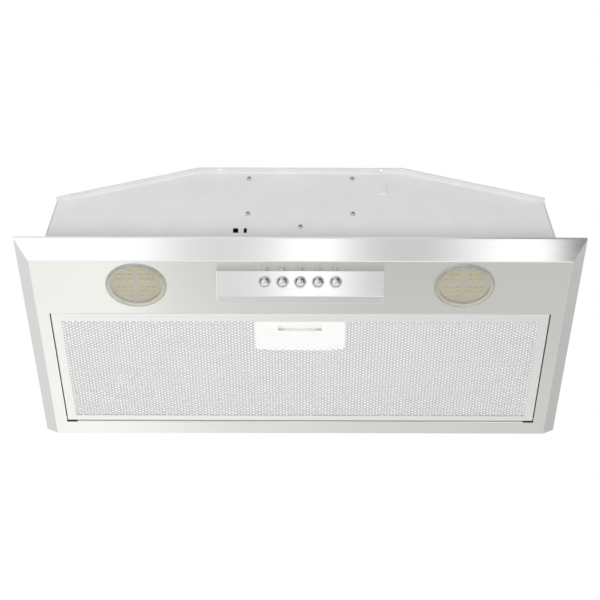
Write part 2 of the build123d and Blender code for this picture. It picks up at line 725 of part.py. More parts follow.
def motor_end_cap():
    cap = axis_ring(MOTOR_RADIUS, SHAFT_RADIUS + SHAFT_ROOM, cap_rear, motor_rear)
    seat = axis_ring(BEARING_RADIUS + BEARING_SEAT, BEARING_RADIUS, motor_rear, motor_rear + BEARING_LENGTH)
    return cap + seat


def motor_bearings():
    face = motor_front - MOTOR_WALL
    bore = SHAFT_RADIUS + RUNNING_CLEARANCE
    front = axis_ring(BEARING_RADIUS, bore, face - BEARING_LENGTH, face)
    rear = axis_ring(BEARING_RADIUS, bore, motor_rear, motor_rear + BEARING_LENGTH)
    return group([front, rear])


def stator_span():
    middle = (motor_front + motor_rear) / 2
    return middle - STATOR_LENGTH / 2, middle + STATOR_LENGTH / 2


def motor_stator():
    return axis_ring(MOTOR_RADIUS - MOTOR_WALL, STATOR_BORE, *stator_span())


def motor_rotor():
    return axis_ring(STATOR_BORE - ROTOR_GAP, SHAFT_RADIUS + PRESS_CLEARANCE, *stator_span())


def motor_shaft():
    return along_x(SHAFT_RADIUS, spider_rear, nut_start + NUT_HEIGHT, axis_y, axis_z)


def shaft_nut():
    nut = extrude(RegularPolygon(NUT_FLATS / 2, 6, major_radius=False), NUT_HEIGHT)
    nut = Pos(nut_start, axis_y, axis_z) * Rot(0, 90, 0) * nut
    bore = SHAFT_RADIUS + PRESS_CLEARANCE
    return nut - along_x(bore, nut_start - OVERCUT, nut_start + 2 * NUT_HEIGHT, axis_y, axis_z)


def motor_spider():
    spider = along_x(MOTOR_RADIUS, spider_rear, cap_rear, axis_y, axis_z)
    for y, z in grommet_places():
        spider += along_x(SPIDER_ARM / 2, spider_rear, cap_rear, y, z)
        angle = math.degrees(math.atan2(z - axis_z, y - axis_y))
        arm = Pos(0, GROMMET_CIRCLE / 2, 0) * Box(SPIDER_SHEET, GROMMET_CIRCLE, SPIDER_ARM)
        spider += Pos((spider_rear + cap_rear) / 2, axis_y, axis_z) * Rot(angle, 0, 0) * arm
    spider -= along_x(SHAFT_RADIUS + SHAFT_ROOM, spider_rear - OVERCUT, cap_rear + OVERCUT, axis_y, axis_z)
    for y, z in grommet_places():
        spider -= along_x(SCREW_RADIUS + SCREW_CLEARANCE, spider_rear - OVERCUT, cap_rear + OVERCUT, y, z)
    return spider


def motor_grommets():
    bore = SCREW_RADIUS + SCREW_CLEARANCE
    return group(
        along_x(GROMMET_RADIUS, cap_rear, -side_outer, y, z) - along_x(bore, cap_rear - OVERCUT, 0, y, z)
        for y, z in grommet_places()
    )


def motor_screws():
    length = -blower_half - spider_rear + SCREW_RADIUS
    facing = Rot(0, -90, 0)
    return group(screw(Pos(spider_rear, y, z) * facing, length) for y, z in grommet_places())


# Electrical box
box_half = box_screw_x + BOX_MARGIN
box_low = BOX_SCREW_LOW - BOX_MARGIN
box_high = min(BOX_SCREW_HIGH + BOX_MARGIN, throat_top) - SHEET_GAP
box_rear = plate_back + BOX_DEPTH
box_floor = box_rear - BOX_WALL
shelf_z = BOX_SCREW_LOW + BOX_POST_RADIUS + PART_SPACING
upper_shelf_z = shelf_z + CAPACITOR_HEIGHT + PART_SPACING


def electrical_box():
    box = bar(-box_half, box_half, plate_back, box_rear, box_low, box_high)
    box -= bar(
        -box_half + BOX_WALL, box_half - BOX_WALL, plate_back - OVERCUT, box_floor,
        box_low + BOX_WALL, box_high - BOX_WALL,
    )
    for x, z in front_screw_places()[:4]:
        box += along_y(BOX_POST_RADIUS, plate_back, box_floor, x, z)
        box -= along_y(SCREW_RADIUS + SCREW_BITE, plate_back - OVERCUT, plate_back + SCREW_LENGTH, x, z)
    return box


def run_capacitor():
    x0 = -box_screw_x + BOX_POST_RADIUS
    high = shelf_z + CAPACITOR_HEIGHT
    case = bar(x0, x0 + CAPACITOR_WIDTH, box_floor - CAPACITOR_DEPTH, box_floor, shelf_z, high)
    return fillet(case.edges().filter_by(Axis.Z), BOX_WALL)


def terminal_block():
    x0 = -box_screw_x + BOX_POST_RADIUS + CAPACITOR_WIDTH + PART_SPACING
    front = box_floor - TERMINAL_DEPTH
    block = bar(x0, x0 + TERMINAL_WIDTH, front, box_floor, shelf_z, shelf_z + TERMINAL_HEIGHT)
    pitch = TERMINAL_WIDTH / TERMINAL_WAYS
    z = shelf_z + TERMINAL_HEIGHT / 2
    for way in range(TERMINAL_WAYS):
        x = x0 + (way + 0.5) * pitch
        block -= along_y(TERMINAL_BORE, front - OVERCUT, front + TERMINAL_DEPTH / 2, x, z)
    return block


def led_driver():
    x0 = -box_screw_x + BOX_POST_RADIUS
    high = upper_shelf_z + DRIVER_HEIGHT
    case = bar(x0, x0 + DRIVER_WIDTH, box_floor - DRIVER_DEPTH, box_floor, upper_shelf_z, high)
    return fillet(case.edges().filter_by(Axis.Y), BOX_WALL)


def cable_clip():
    """A saddle behind the lowest front screw, closed round the switch lead."""
    lead_y = switch_lead_points()[-1][1]
    outer = LEAD_RADIUS + CLIP_WALL
    low, high = CLIP_SCREW_HEIGHT - CLIP_WIDTH / 2, CLIP_SCREW_HEIGHT + CLIP_WIDTH / 2
    clip = along_z(outer, low, high, switch_lead_x, lead_y)
    foot = bar(-CLIP_WIDTH / 2, switch_lead_x, plate_back, lead_y, low, high)
    clip += foot
    clip -= along_z(LEAD_RADIUS + PRESS_CLEARANCE, low - OVERCUT, high + OVERCUT, switch_lead_x, lead_y)
    screw_end = plate_back + SCREW_LENGTH
    return clip - along_y(SCREW_RADIUS + SCREW_BITE, plate_back - OVERCUT, screw_end, 0, CLIP_SCREW_HEIGHT)


# Leads, each a tube of straight runs and tangent arcs
switch_lead_x = CLIP_WIDTH / 2 + LEAD_RADIUS + CLIP_WALL
lead_lane_y = plate_back + CLIP_WALL + 2 * LEAD_RADIUS


def lead(points, bend, radius):
    corners = len(points) - 2
    path = FilletPolyline(*points, radius=[bend] * corners)
    section = Plane(origin=path @ 0, z_dir=path % 0) * Circle(radius)
    return sweep(section, path=path)


def switch_lead_points():
    out = pod_face.from_local_coords(Vector(switch_lead_x, 0, block_back))
    inward = -pod_face.z_dir
    clear = out + inward * (4 * LEAD_RADIUS)
    lane = (switch_lead_x, lead_lane_y)
    return [tuple(out), tuple(clear), (*lane, clear.Z + LEAD_RISE), (*lane, box_low)]


def switch_lead():
    return lead(switch_lead_points(), 3 * LEAD_RADIUS, LEAD_RADIUS)


def lamp_lead():
    start_x = lamp_x - can_radius
    height = panel_top + LAMP_CAN_HEIGHT / 2
    drop_x = box_screw_x - BOX_MARGIN
    points = [
        (start_x, lamp_y, height),
        (start_x - 10 * LAMP_LEAD_RADIUS, lamp_y, height),
        (drop_x, lead_lane_y, height),
        (drop_x, lead_lane_y, box_low),
    ]
    return lead(points, 4 * LAMP_LEAD_RADIUS, LAMP_LEAD_RADIUS)


def motor_lead():
    start_z = axis_z + MOTOR_RADIUS / 2
    box_y = (plate_back + box_rear) / 2
    outer_x = min(spider_rear, -box_half) - 6 * LEAD_RADIUS
    points = [
        (spider_rear, axis_y, start_z),
        (outer_x, axis_y, start_z),
        (outer_x, box_y, start_z),
        (-box_half, box_y, start_z),
    ]
    return lead(points, 4 * LEAD_RADIUS, LEAD_RADIUS)


def mains_gland():
    flange_top = ROOF_HEIGHT + GLAND_FLANGE_THICKNESS
    tail = roof_under - GLAND_TAIL
    gland = along_z(GLAND_FLANGE, ROOF_HEIGHT, flange_top, GLAND_X, gland_y)
    dome = along_z(GLAND_FLANGE - BOX_WALL, flange_top, flange_top + GLAND_DOME, GLAND_X, gland_y)
    gland += fillet(dome.edges().group_by(Axis.Z)[-1], GLAND_FLANGE / 4)
    gland += along_z(GLAND_THREAD, tail, ROOF_HEIGHT, GLAND_X, gland_y)
    return gland - along_z(GLAND_BORE, tail - OVERCUT, flange_top + 2 * GLAND_DOME, GLAND_X, gland_y)


def gland_nut():
    nut = extrude(RegularPolygon(GLAND_NUT_FLATS / 2, 6, major_radius=False), GLAND_NUT_HEIGHT)
    nut = Pos(GLAND_X, gland_y, roof_under - GLAND_NUT_HEIGHT) * nut
    bore = GLAND_THREAD + PRESS_CLEARANCE
    return nut - along_z(bore, roof_under - 2 * GLAND_NUT_HEIGHT, roof_under + OVERCUT, GLAND_X, gland_y)


# Control pod
def pod_block(inset):
    """The pod's outside, or with an inset the hollow inside its walls."""
    floor_front = pod_front + POD_FACE_RUN
    floor_rear = floor_front + POD_FLOOR
    profile = make_face(Polyline(
        (pod_front, bottom_z), (floor_front, pod_floor_z), (floor_rear, pod_floor_z), (pod_rear, bottom_z),
        close=True,
    ))
    half = POD_WIDTH / 2
    rear_half = half - POD_END_TAPER
    corner_y = pod_front + POD_FACE_RUN
    plan = make_face(Polyline(
        (-half, pod_front), (half, pod_front), (half, corner_y), (rear_half, pod_rear),
        (-rear_half, pod_rear), (-half, corner_y), close=True,
    ))
    if inset:
        profile = offset(profile, -inset, kind=Kind.INTERSECTION)
        plan = offset(plan, -inset, kind=Kind.INTERSECTION)
    prism = extrude(Plane.YZ * profile, POD_WIDTH, both=True)
    column = extrude(Pos(0, 0, pod_floor_z - POD_DROP) * plan, 4 * POD_DROP)
    return prism & column


def button_places():
    middle = (len(BUTTON_NAMES) - 1) / 2
    return [(place - middle) * BUTTON_PITCH for place in range(len(BUTTON_NAMES))]


def face_cylinder(radius, z0, z1, x):
    """A cylinder square to the pod face at a button's place."""
    return Pos(x, 0, (z0 + z1) / 2) * Cylinder(radius, z1 - z0)


def stud_places():
    return [side * (BLOCK_FLANGE_WIDTH + BLOCK_WIDTH) / 4 for side in (-1, 1)]


def control_pod():
    outside = pod_block(0)
    bends = outside.edges().filter_by(lambda e: e.center().Z < bottom_z - SHEET_GAP)
    pod = fillet(bends, POD_BEND) - pod_block(POD_WALL)
    boss_low = bottom_z - POD_BOSS_HEIGHT
    for side in (-1, 1):
        x = side * POD_SCREW_SPACING / 2
        pod += along_z(POD_BOSS_RADIUS, boss_low, bottom_z - POD_WALL / 2, x, pod_screw_y)
        pod -= along_z(SCREW_RADIUS + SCREW_BITE, boss_low + POD_WALL, bottom_z + OVERCUT, x, pod_screw_y)
    low, high = bottom_z - 2 * POD_WALL, bottom_z + OVERCUT
    pod -= bar(-window_half, window_half, window_front, window_rear, low, high)
    hole = BUTTON_RADIUS + BUTTON_CLEARANCE
    for x in button_places():
        pod -= pod_face * face_cylinder(hole, -2 * POD_WALL, 1, x)
    for x in stud_places():
        pod += pod_face * face_cylinder(STUD_RADIUS, -POD_WALL - STUD_LENGTH, -POD_WALL / 2, x)
    return pod


def button_bezels():
    ring = Cylinder(BEZEL_RADIUS, BEZEL_HEIGHT)
    ring = fillet(ring.edges().group_by(Axis.Z)[-1], BEZEL_ROUND)
    ring = Pos(0, 0, BEZEL_HEIGHT / 2) * ring
    ring -= Cylinder(BUTTON_RADIUS + BUTTON_CLEARANCE, 4 * BEZEL_HEIGHT)
    return group(pod_face * (Pos(x, 0, 0) * ring) for x in button_places())


def push_button(x):
    cap = face_cylinder(BUTTON_RADIUS, cap_inner, BUTTON_PROUD, 0)
    cap = fillet(cap.edges().group_by(Axis.Z)[-1], BUTTON_CROWN)
    head_top = button_shoulder - BUTTON_CLEARANCE
    stem = face_cylinder(STEM_RADIUS, head_top, cap_inner, 0)
    head = face_cylinder(STEM_HEAD_RADIUS, head_top - STEM_HEAD, head_top, 0)
    return pod_face * (Pos(x, 0, 0) * (cap + stem + head))


def switch_block():
    flange = Box(BLOCK_FLANGE_WIDTH, BLOCK_FLANGE_HEIGHT, BLOCK_FLANGE)
    body = Box(BLOCK_WIDTH, BLOCK_HEIGHT, BLOCK_DEPTH)
    block = Pos(0, 0, (block_front + block_body) / 2) * flange
    block += Pos(0, 0, (block_body + block_back) / 2) * body
    recess_floor = cap_inner - BUTTON_TRAVEL - 2 * BUTTON_CLEARANCE
    head_floor = block_back + POD_WALL
    for x in button_places():
        block -= face_cylinder(BUTTON_RADIUS + BUTTON_CLEARANCE, recess_floor, 1, x)
        block -= face_cylinder(STEM_RADIUS + RUNNING_CLEARANCE, block_back, 0, x)
        block -= face_cylinder(STEM_HEAD_RADIUS + BUTTON_CLEARANCE, head_floor, button_shoulder, x)
    for x in stud_places():
        block -= face_cylinder(STUD_RADIUS + BUTTON_CLEARANCE / 2, block_body - STUD_LENGTH, 0, x)
    return pod_face * block


# Lamps
def lamp_bezel(x):
    ring = along_z(LAMP_RADIUS, bottom_z - LAMP_BEZEL, bottom_z, x, lamp_y)
    ring = fillet(ring.edges().group_by(Axis.Z)[0], LAMP_BEZEL_ROUND)
    ring += along_z(neck_radius, bottom_z, bottom_z + LAMP_NECK, x, lamp_y)
    ring -= along_z(LAMP_BORE, lens_low, bottom_z + 2 * LAMP_NECK, x, lamp_y)
    seat_top = lens_low + LENS_THICKNESS + SHEET_GAP
    return ring - along_z(lens_seat, lens_low, seat_top, x, lamp_y)


def lamp_lens(x):
    lens = along_z(lens_seat - LENS_GAP, lens_low, lens_low + LENS_THICKNESS, x, lamp_y)
    return fillet(lens.edges().group_by(Axis.Z)[0], LENS_ROUND)


def lamp_can(x):
    high = panel_top + LAMP_CAN_HEIGHT
    can = along_z(can_radius, panel_top, high, x, lamp_y)
    can += along_z(can_radius + LAMP_CAN_FLANGE, panel_top, panel_top + LAMP_CAN_WALL, x, lamp_y)
    return can - along_z(can_bore, panel_top - OVERCUT, high - LAMP_CAN_WALL, x, lamp_y)


def lamp_board(x):
    low = panel_top + BOARD_HEIGHT
    board = along_z(can_bore - LENS_GAP, low, low + BOARD_THICKNESS, x, lamp_y)
    for across in (-1, 1):
        for along in (-1, 1):
            for column, row in ((0, 0), (1, 0), (2, 0), (0, 1), (1, 1), (2, 1), (0, 2), (1, 2)):
                chip_x = x + across * (CHIP_CROSS + column * CHIP_PITCH)
                chip_y = lamp_y + along * (CHIP_CROSS + row * CHIP_PITCH)
                board += Pos(chip_x, chip_y, low - CHIP_HEIGHT / 2) * Box(CHIP_SIZE, CHIP_SIZE, CHIP_HEIGHT)
    return board


# Grease filter
def rail_block(inset):
    """The filter's outside with its round rear edge, or with an inset the hollow inside its frame."""
    half = filter_half - inset
    low, high = bottom_z + inset, filter_top - inset
    block = bar(-half, half, filter_front + inset, hinge_y, low, high)
    return block + along_x(hinge_radius - inset, -half, half, hinge_y, hinge_z)


def filter_frame():
    outside = rail_block(0)
    bends = outside.edges().filter_by(lambda e: e.center().Y < filter_front + SHEET_GAP)
    frame = fillet(bends, FILTER_BEND) - rail_block(FILTER_SHEET)
    frame -= bar(-window_x, window_x, window_y0, window_y1, bottom_z - OVERCUT, filter_top + OVERCUT)
    slot = TONGUE_WIDTH / 2 + SLIDER_GAP
    frame -= bar(
        -slot, slot, filter_front - OVERCUT, filter_front + 2 * FILTER_SHEET,
        slider_low - SLIDER_GAP, slider_high + SLIDER_GAP,
    )
    pin_hole = PIVOT_RADIUS + PRESS_CLEARANCE
    return frame - along_x(pin_hole, -PANEL_WIDTH, PANEL_WIDTH, hinge_y, hinge_z)


def guide_pocket(z0, z1):
    """The room that the mesh pack leaves for the latch guide."""
    half = GUIDE_WIDTH / 2 + SHEET_GAP
    return bar(-half, half, pack_front - OVERCUT, guide_rear + SHEET_GAP, z0, z1)


def mesh_sheet(low):
    """A sheet with staggered rows of round gaps over the frame's window, leaving the handle whole."""
    pitch_x = 2 * window_x / (MESH_COLUMNS + 0.5)
    pitch_y = (window_y1 - window_y0) / MESH_ROWS
    gap = (min(pitch_x, pitch_y) - MESH_BAR) / 2
    holes = []
    for row in range(MESH_ROWS):
        y = window_y0 + (row + 0.5) * pitch_y
        for column in range(MESH_COLUMNS):
            x = -window_x + (column + 0.5 + 0.5 * (row % 2)) * pitch_x
            if abs(x) > HANDLE_WIDTH / 2 + gap or y > handle_rear + gap:
                holes.append(Wire.make_circle(gap, Plane((x, y, low))))
    edge = Wire.make_polygon(
        [(-pack_half, pack_front, low), (pack_half, pack_front, low),
         (pack_half, pack_rear, low), (-pack_half, pack_rear, low)],
    )
    return Part() + extrude(Face(edge, holes), MESH_SHEET, dir=(0, 0, 1))


def filter_mesh_outer():
    return mesh_sheet(mesh_low) - guide_pocket(mesh_low - OVERCUT, mesh_low + 2 * MESH_SHEET)


def filter_mesh_inner():
    return mesh_sheet(mesh_high)


def filter_core():
    core = bar(-pack_half, pack_half, pack_front, pack_rear, core_low, mesh_high)
    return core - guide_pocket(core_low - OVERCUT, mesh_high + OVERCUT)


def handle_plate():
    plate = bar(-HANDLE_WIDTH / 2, HANDLE_WIDTH / 2, handle_front, handle_rear, bottom_z, mesh_low)
    corners = plate.edges().filter_by(Axis.Z).group_by(Axis.Y)[-1]
    plate = fillet(corners, HANDLE_CORNER)
    half = FINGER_SLOT_WIDTH / 2
    return plate - bar(-half, half, slot_front, slot_rear, bottom_z - OVERCUT, mesh_low + OVERCUT)


def latch_guide():
    half = GUIDE_WIDTH / 2
    guide = bar(-half, half, pack_front, guide_rear, mesh_low, mesh_high)
    room = SLIDER_WIDTH / 2 + SLIDER_GAP
    guide -= bar(
        -room, room, pack_front - OVERCUT, guide_rear - GUIDE_WALL,
        slider_low - SLIDER_GAP, slider_high + SLIDER_GAP,
    )
    window = FINGER_SLOT_WIDTH / 2
    rear = lip_front + 2 * FINGER_LIP
    return guide - bar(-window, window, slot_front, rear, mesh_low - OVERCUT, slider_mid)


def latch_slider():
    half = SLIDER_WIDTH / 2
    slider = bar(-half, half, slider_front, slider_rear, slider_low, slider_high)
    tongue = TONGUE_WIDTH / 2
    slider += bar(-tongue, tongue, tongue_tip, slider_front, slider_low, slider_high)
    lip = FINGER_LIP_WIDTH / 2
    lip_low = mesh_low + SLIDER_GAP
    return slider + bar(-lip, lip, lip_front, lip_front + FINGER_LIP, lip_low, slider_low)


def latch_spring():
    end = guide_rear - GUIDE_WALL - SHEET_GAP
    start = slider_rear + SHEET_GAP
    sleeve = along_y(SPRING_RADIUS, start, end, 0, slider_mid)
    return sleeve - along_y(SPRING_RADIUS - SPRING_WIRE, start - OVERCUT, end + OVERCUT, 0, slider_mid)


def filter_pivots():
    wall = filter_half - FILTER_SHEET - PRESS_CLEARANCE
    plug = along_x(plug_radius, wall - PIVOT_PLUG, wall, hinge_y, hinge_z)
    pin = along_x(PIVOT_RADIUS, wall - OVERCUT, filter_half + PIVOT_REACH, hinge_y, hinge_z)
    return both_sides(plug + pin)


def filter_hooks():
    inner = filter_half + HOOK_GAP
    y0, y1 = hinge_y - HOOK_LENGTH / 2, hinge_y + HOOK_LENGTH / 2
    hook = bar(inner, inner + HOOK_SHEET, y0, y1, panel_top, panel_top + HOOK_HEIGHT)
    hook += bar(inner, inner + HOOK_FOOT, y0, y1, panel_top, panel_top + HOOK_SHEET)
    hook -= along_x(PIVOT_RADIUS + RUNNING_CLEARANCE, inner - OVERCUT, inner + HOOK_FOOT, hinge_y, hinge_z)
    return both_sides(hook)


def case_screws():
    screws = [screw(Pos(x, plate_y, z) * Rot(90, 0, 0), SCREW_LENGTH) for x, z in front_screw_places()]
    flange_top = ROOF_HEIGHT + COLLAR_FLANGE_THICKNESS
    through = COLLAR_FLANGE_THICKNESS + HOUSING_SHEET + BLOWER_FLANGE + SCREW_TIP
    screws += [screw(Pos(x, y, flange_top), through) for x, y in collar_screw_places()]
    for side in (-1, 1):
        place = Pos(side * POD_SCREW_SPACING / 2, pod_screw_y, panel_top)
        screws.append(screw(place, POD_BOSS_HEIGHT - POD_WALL))
    return group(screws)


nodes = {
    "bottom_panel": bottom_panel(),
    "housing_wrap": housing_wrap(),
    "front_plate": front_plate(),
    "back_plate": back_plate(),
    "case_screws": case_screws(),
    "outlet_collar": outlet_collar(),
    "damper_pin": damper_pin(),
    "damper_flap_front": damper_flap(0),
    "damper_flap_rear": damper_flap_rear(),
    "blower_flange": blower_flange(),
    "blower_band": blower_band(),
    "blower_side_left": blower_side_left(),
    "blower_side_right": blower_side(blower_half),
    "impeller": impeller(),
    "motor_can": motor_can(),
    "motor_end_cap": motor_end_cap(),
    "motor_stator": motor_stator(),
    "motor_rotor": motor_rotor(),
    "motor_shaft": motor_shaft(),
    "motor_bearings": motor_bearings(),
    "motor_spider": motor_spider(),
    "motor_grommets": motor_grommets(),
    "motor_screws": motor_screws(),
    "shaft_nut": shaft_nut(),
    "electrical_box": electrical_box(),
    "run_capacitor": run_capacitor(),
    "terminal_block": terminal_block(),
    "led_driver": led_driver(),
    "cable_clip": cable_clip(),
    "switch_lead": switch_lead(),
    "lamp_leads": both_sides(lamp_lead()),
    "motor_lead": motor_lead(),
    "mains_gland": mains_gland(),
    "gland_nut": gland_nut(),
    "control_pod": control_pod(),
    "switch_block": switch_block(),
    "button_bezels": button_bezels(),
    "lamp_left_bezel": lamp_bezel(-lamp_x),
    "lamp_right_bezel": lamp_bezel(lamp_x),
    "lamp_left_lens": lamp_lens(-lamp_x),
    "lamp_right_lens": lamp_lens(lamp_x),
    "lamp_cans": group([lamp_can(-lamp_x), lamp_can(lamp_x)]),
    "lamp_boards": group([lamp_board(-lamp_x), lamp_board(lamp_x)]),
    "filter_frame": filter_frame(),
    "filter_mesh_outer": filter_mesh_outer(),
    "filter_core": filter_core(),
    "filter_mesh_inner": filter_mesh_inner(),
    "handle_plate": handle_plate(),
    "latch_guide": latch_guide(),
    "latch_slider": latch_slider(),
    "latch_spring": latch_spring(),
    "filter_pivots": filter_pivots(),
    "filter_hooks": filter_hooks(),
}
for name, x in zip(BUTTON_NAMES, button_places()):
    nodes[name] = push_button(x)

os.makedirs("parts", exist_ok=True)
for name, shape in nodes.items():
    export_step(shape, f"parts/{name}.step")
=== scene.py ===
import json
import math

import bmesh
import bpy
from mathutils import Matrix, Vector


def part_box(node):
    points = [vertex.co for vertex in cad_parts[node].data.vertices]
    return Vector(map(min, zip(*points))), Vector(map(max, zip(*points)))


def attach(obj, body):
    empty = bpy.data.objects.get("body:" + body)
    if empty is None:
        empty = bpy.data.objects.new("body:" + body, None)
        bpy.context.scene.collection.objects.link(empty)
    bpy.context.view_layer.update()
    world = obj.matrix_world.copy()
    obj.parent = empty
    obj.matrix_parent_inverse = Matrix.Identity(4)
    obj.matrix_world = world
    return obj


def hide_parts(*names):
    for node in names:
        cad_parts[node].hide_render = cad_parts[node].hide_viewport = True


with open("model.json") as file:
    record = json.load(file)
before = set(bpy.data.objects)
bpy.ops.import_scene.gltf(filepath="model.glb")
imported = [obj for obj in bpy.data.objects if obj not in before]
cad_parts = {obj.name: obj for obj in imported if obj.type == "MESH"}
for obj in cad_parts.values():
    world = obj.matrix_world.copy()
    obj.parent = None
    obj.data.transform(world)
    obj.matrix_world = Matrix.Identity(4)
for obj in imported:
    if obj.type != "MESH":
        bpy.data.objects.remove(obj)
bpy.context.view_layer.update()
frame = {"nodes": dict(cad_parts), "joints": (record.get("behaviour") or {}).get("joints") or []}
nodes = frame["nodes"]
scene = bpy.context.scene

# Camera
# The hood is seen from in front and below, as by someone who stands at the cooker and looks up.
# A long lens keeps the sides of the tray nearly parallel.
LENS = 99.46
EYE = Vector((0.00386, -1.62816, -1.41938))
PITCH = math.radians(42.406)
YAW = math.radians(-0.152)
ROLL = math.radians(0.235)
turn = (
    Matrix.Rotation(-YAW, 4, "Z")
    @ Matrix.Rotation(math.pi / 2 + PITCH, 4, "X")
    @ Matrix.Rotation(ROLL, 4, "Z")
)
camera_data = bpy.data.cameras.new("camera")
camera_data.lens = LENS
camera_data.clip_end = 50
camera = bpy.data.objects.new("camera", camera_data)
camera.matrix_world = Matrix.Translation(EYE) @ turn
scene.collection.objects.link(camera)
scene.camera = camera
scene.view_settings.view_transform = "Standard"

# Studio
# A white room with a pale floor far below the hood, which is clear from underneath, soft lamps on
# both sides of the camera, and grey flats that only show as soft shades in the steel.
AMBIENT = 0.45
FLOOR_LEVEL = -1.75
FLOOR_SPAN = 16.0
FLOOR_COLOUR = (0.9, 0.9, 0.9)
FLOOR_GLOW = 0.55


def seen_directly(tree):
    """1 where a ray comes straight from the camera, or by way of metal or glass."""
    path = tree.nodes.new("ShaderNodeLightPath")
    total = path.outputs["Is Camera Ray"]
    for kind in ("Is Glossy Ray", "Is Transmission Ray"):
        either = tree.nodes.new("ShaderNodeMath")
        either.operation = "MAXIMUM"
        tree.links.new(total, either.inputs[0])
        tree.links.new(path.outputs[kind], either.inputs[1])
        total = either.outputs[0]
    return total


room = bpy.data.worlds.new("white_room")
room.use_nodes = True
room_tree = room.node_tree
room_tree.nodes.clear()
room_light = room_tree.nodes.new("ShaderNodeBackground")
room_light.inputs["Strength"].default_value = AMBIENT
room_white = room_tree.nodes.new("ShaderNodeBackground")
for background in (room_light, room_white):
    background.inputs["Color"].default_value = (1, 1, 1, 1)
room_mix = room_tree.nodes.new("ShaderNodeMixShader")
room_out = room_tree.nodes.new("ShaderNodeOutputWorld")
room_tree.links.new(seen_directly(room_tree), room_mix.inputs[0])
room_tree.links.new(room_light.outputs[0], room_mix.inputs[1])
room_tree.links.new(room_white.outputs[0], room_mix.inputs[2])
room_tree.links.new(room_mix.outputs[0], room_out.inputs["Surface"])
scene.world = room


def stage_sheet(name, width, height, place):
    """A flat sheet of the studio, which isn't part of the hood."""
    shape = bmesh.new()
    bmesh.ops.create_grid(shape, x_segments=1, y_segments=1, size=0.5)
    bmesh.ops.scale(shape, vec=(width, height, 1), verts=shape.verts)
    bmesh.ops.transform(shape, matrix=place, verts=shape.verts)
    mesh = bpy.data.meshes.new(name)
    shape.to_mesh(mesh)
    shape.free()
    sheet = bpy.data.objects.new(name, mesh)
    scene.collection.objects.link(sheet)
    return sheet


floor = stage_sheet("floor", FLOOR_SPAN, FLOOR_SPAN, Matrix.Translation((0, 0, FLOOR_LEVEL)))
floor_paint = bpy.data.materials.new("floor_paint")
floor_paint.use_nodes = True
floor_tree = floor_paint.node_tree
floor_tree.nodes.clear()
floor_matte = floor_tree.nodes.new("ShaderNodeBsdfDiffuse")
floor_matte.inputs["Color"].default_value = (*FLOOR_COLOUR, 1)
floor_white = floor_tree.nodes.new("ShaderNodeEmission")
floor_share = floor_tree.nodes.new("ShaderNodeMath")
floor_share.operation = "MULTIPLY"
floor_share.inputs[1].default_value = FLOOR_GLOW
floor_mix = floor_tree.nodes.new("ShaderNodeMixShader")
floor_side = floor_tree.nodes.new("ShaderNodeNewGeometry")
floor_clear = floor_tree.nodes.new("ShaderNodeBsdfTransparent")
floor_one_way = floor_tree.nodes.new("ShaderNodeMixShader")
floor_out = floor_tree.nodes.new("ShaderNodeOutputMaterial")
floor_tree.links.new(seen_directly(floor_tree), floor_share.inputs[0])
floor_tree.links.new(floor_share.outputs[0], floor_mix.inputs[0])
floor_tree.links.new(floor_matte.outputs[0], floor_mix.inputs[1])
floor_tree.links.new(floor_white.outputs[0], floor_mix.inputs[2])
floor_tree.links.new(floor_side.outputs["Backfacing"], floor_one_way.inputs[0])
floor_tree.links.new(floor_mix.outputs[0], floor_one_way.inputs[1])
floor_tree.links.new(floor_clear.outputs[0], floor_one_way.inputs[2])
floor_tree.links.new(floor_one_way.outputs[0], floor_out.inputs["Surface"])
floor.data.materials.append(floor_paint)

for lamp_name, lamp_place, lamp_size, lamp_power in (
    ("key_lamp", (-1.3, -2.2, 0.9), 1.6, 5),
    ("fill_lamp", (1.5, -2.2, 0.7), 1.6, 4.5),
    ("front_lamp", (-0.3, -1.4, -1.56), 0.9, 27.5),
    ("low_lamp", (-0.1, 0.75, -1.6), 1.2, 14),
    ("back_lamp", (0.4, 2.4, 1.6), 1.8, 18),
):
    lamp_data = bpy.data.lights.new(lamp_name, "AREA")
    lamp_data.size = lamp_size
    lamp_data.energy = lamp_power
    lamp = bpy.data.objects.new(lamp_name, lamp_data)
    lamp.location = lamp_place
    lamp.rotation_euler = (-Vector(lamp_place)).to_track_quat("-Z", "Y").to_euler()
    lamp.visible_camera = False
    lamp.visible_glossy = False
    scene.collection.objects.link(lamp)


def glow_sheet(name, width, height, place, stops, tint=(1, 1, 1)):
    """A sheet that only reflections see. Stops give its brightness at places along X, in metres."""
    sheet = stage_sheet(name, width, height, place)
    paint = bpy.data.materials.new(name)
    paint.use_nodes = True
    tree = paint.node_tree
    tree.nodes.clear()
    place_node = tree.nodes.new("ShaderNodeTexCoord")
    axes = tree.nodes.new("ShaderNodeSeparateXYZ")
    span = tree.nodes.new("ShaderNodeMapRange")
    first, last = stops[0][0], stops[-1][0]
    span.inputs["From Min"].default_value = first
    span.inputs["From Max"].default_value = last
    ramp = tree.nodes.new("ShaderNodeValToRGB")
    ramp.color_ramp.interpolation = "EASE"
    while len(ramp.color_ramp.elements) < len(stops):
        ramp.color_ramp.elements.new(0.5)
    for element, (x, brightness) in zip(ramp.color_ramp.elements, stops):
        element.position = (x - first) / (last - first)
        element.color = (*(brightness * share for share in tint), 1)
    glow = tree.nodes.new("ShaderNodeEmission")
    out = tree.nodes.new("ShaderNodeOutputMaterial")
    tree.links.new(place_node.outputs["Object"], axes.inputs[0])
    tree.links.new(axes.outputs["X"], span.inputs["Value"])
    tree.links.new(span.outputs[0], ramp.inputs[0])
    tree.links.new(ramp.outputs[0], glow.inputs["Color"])
    tree.links.new(glow.outputs[0], out.inputs["Surface"])
    sheet.data.materials.append(paint)
    sheet.visible_camera = False
    sheet.visible_diffuse = False
    sheet.visible_shadow = False
    return sheet


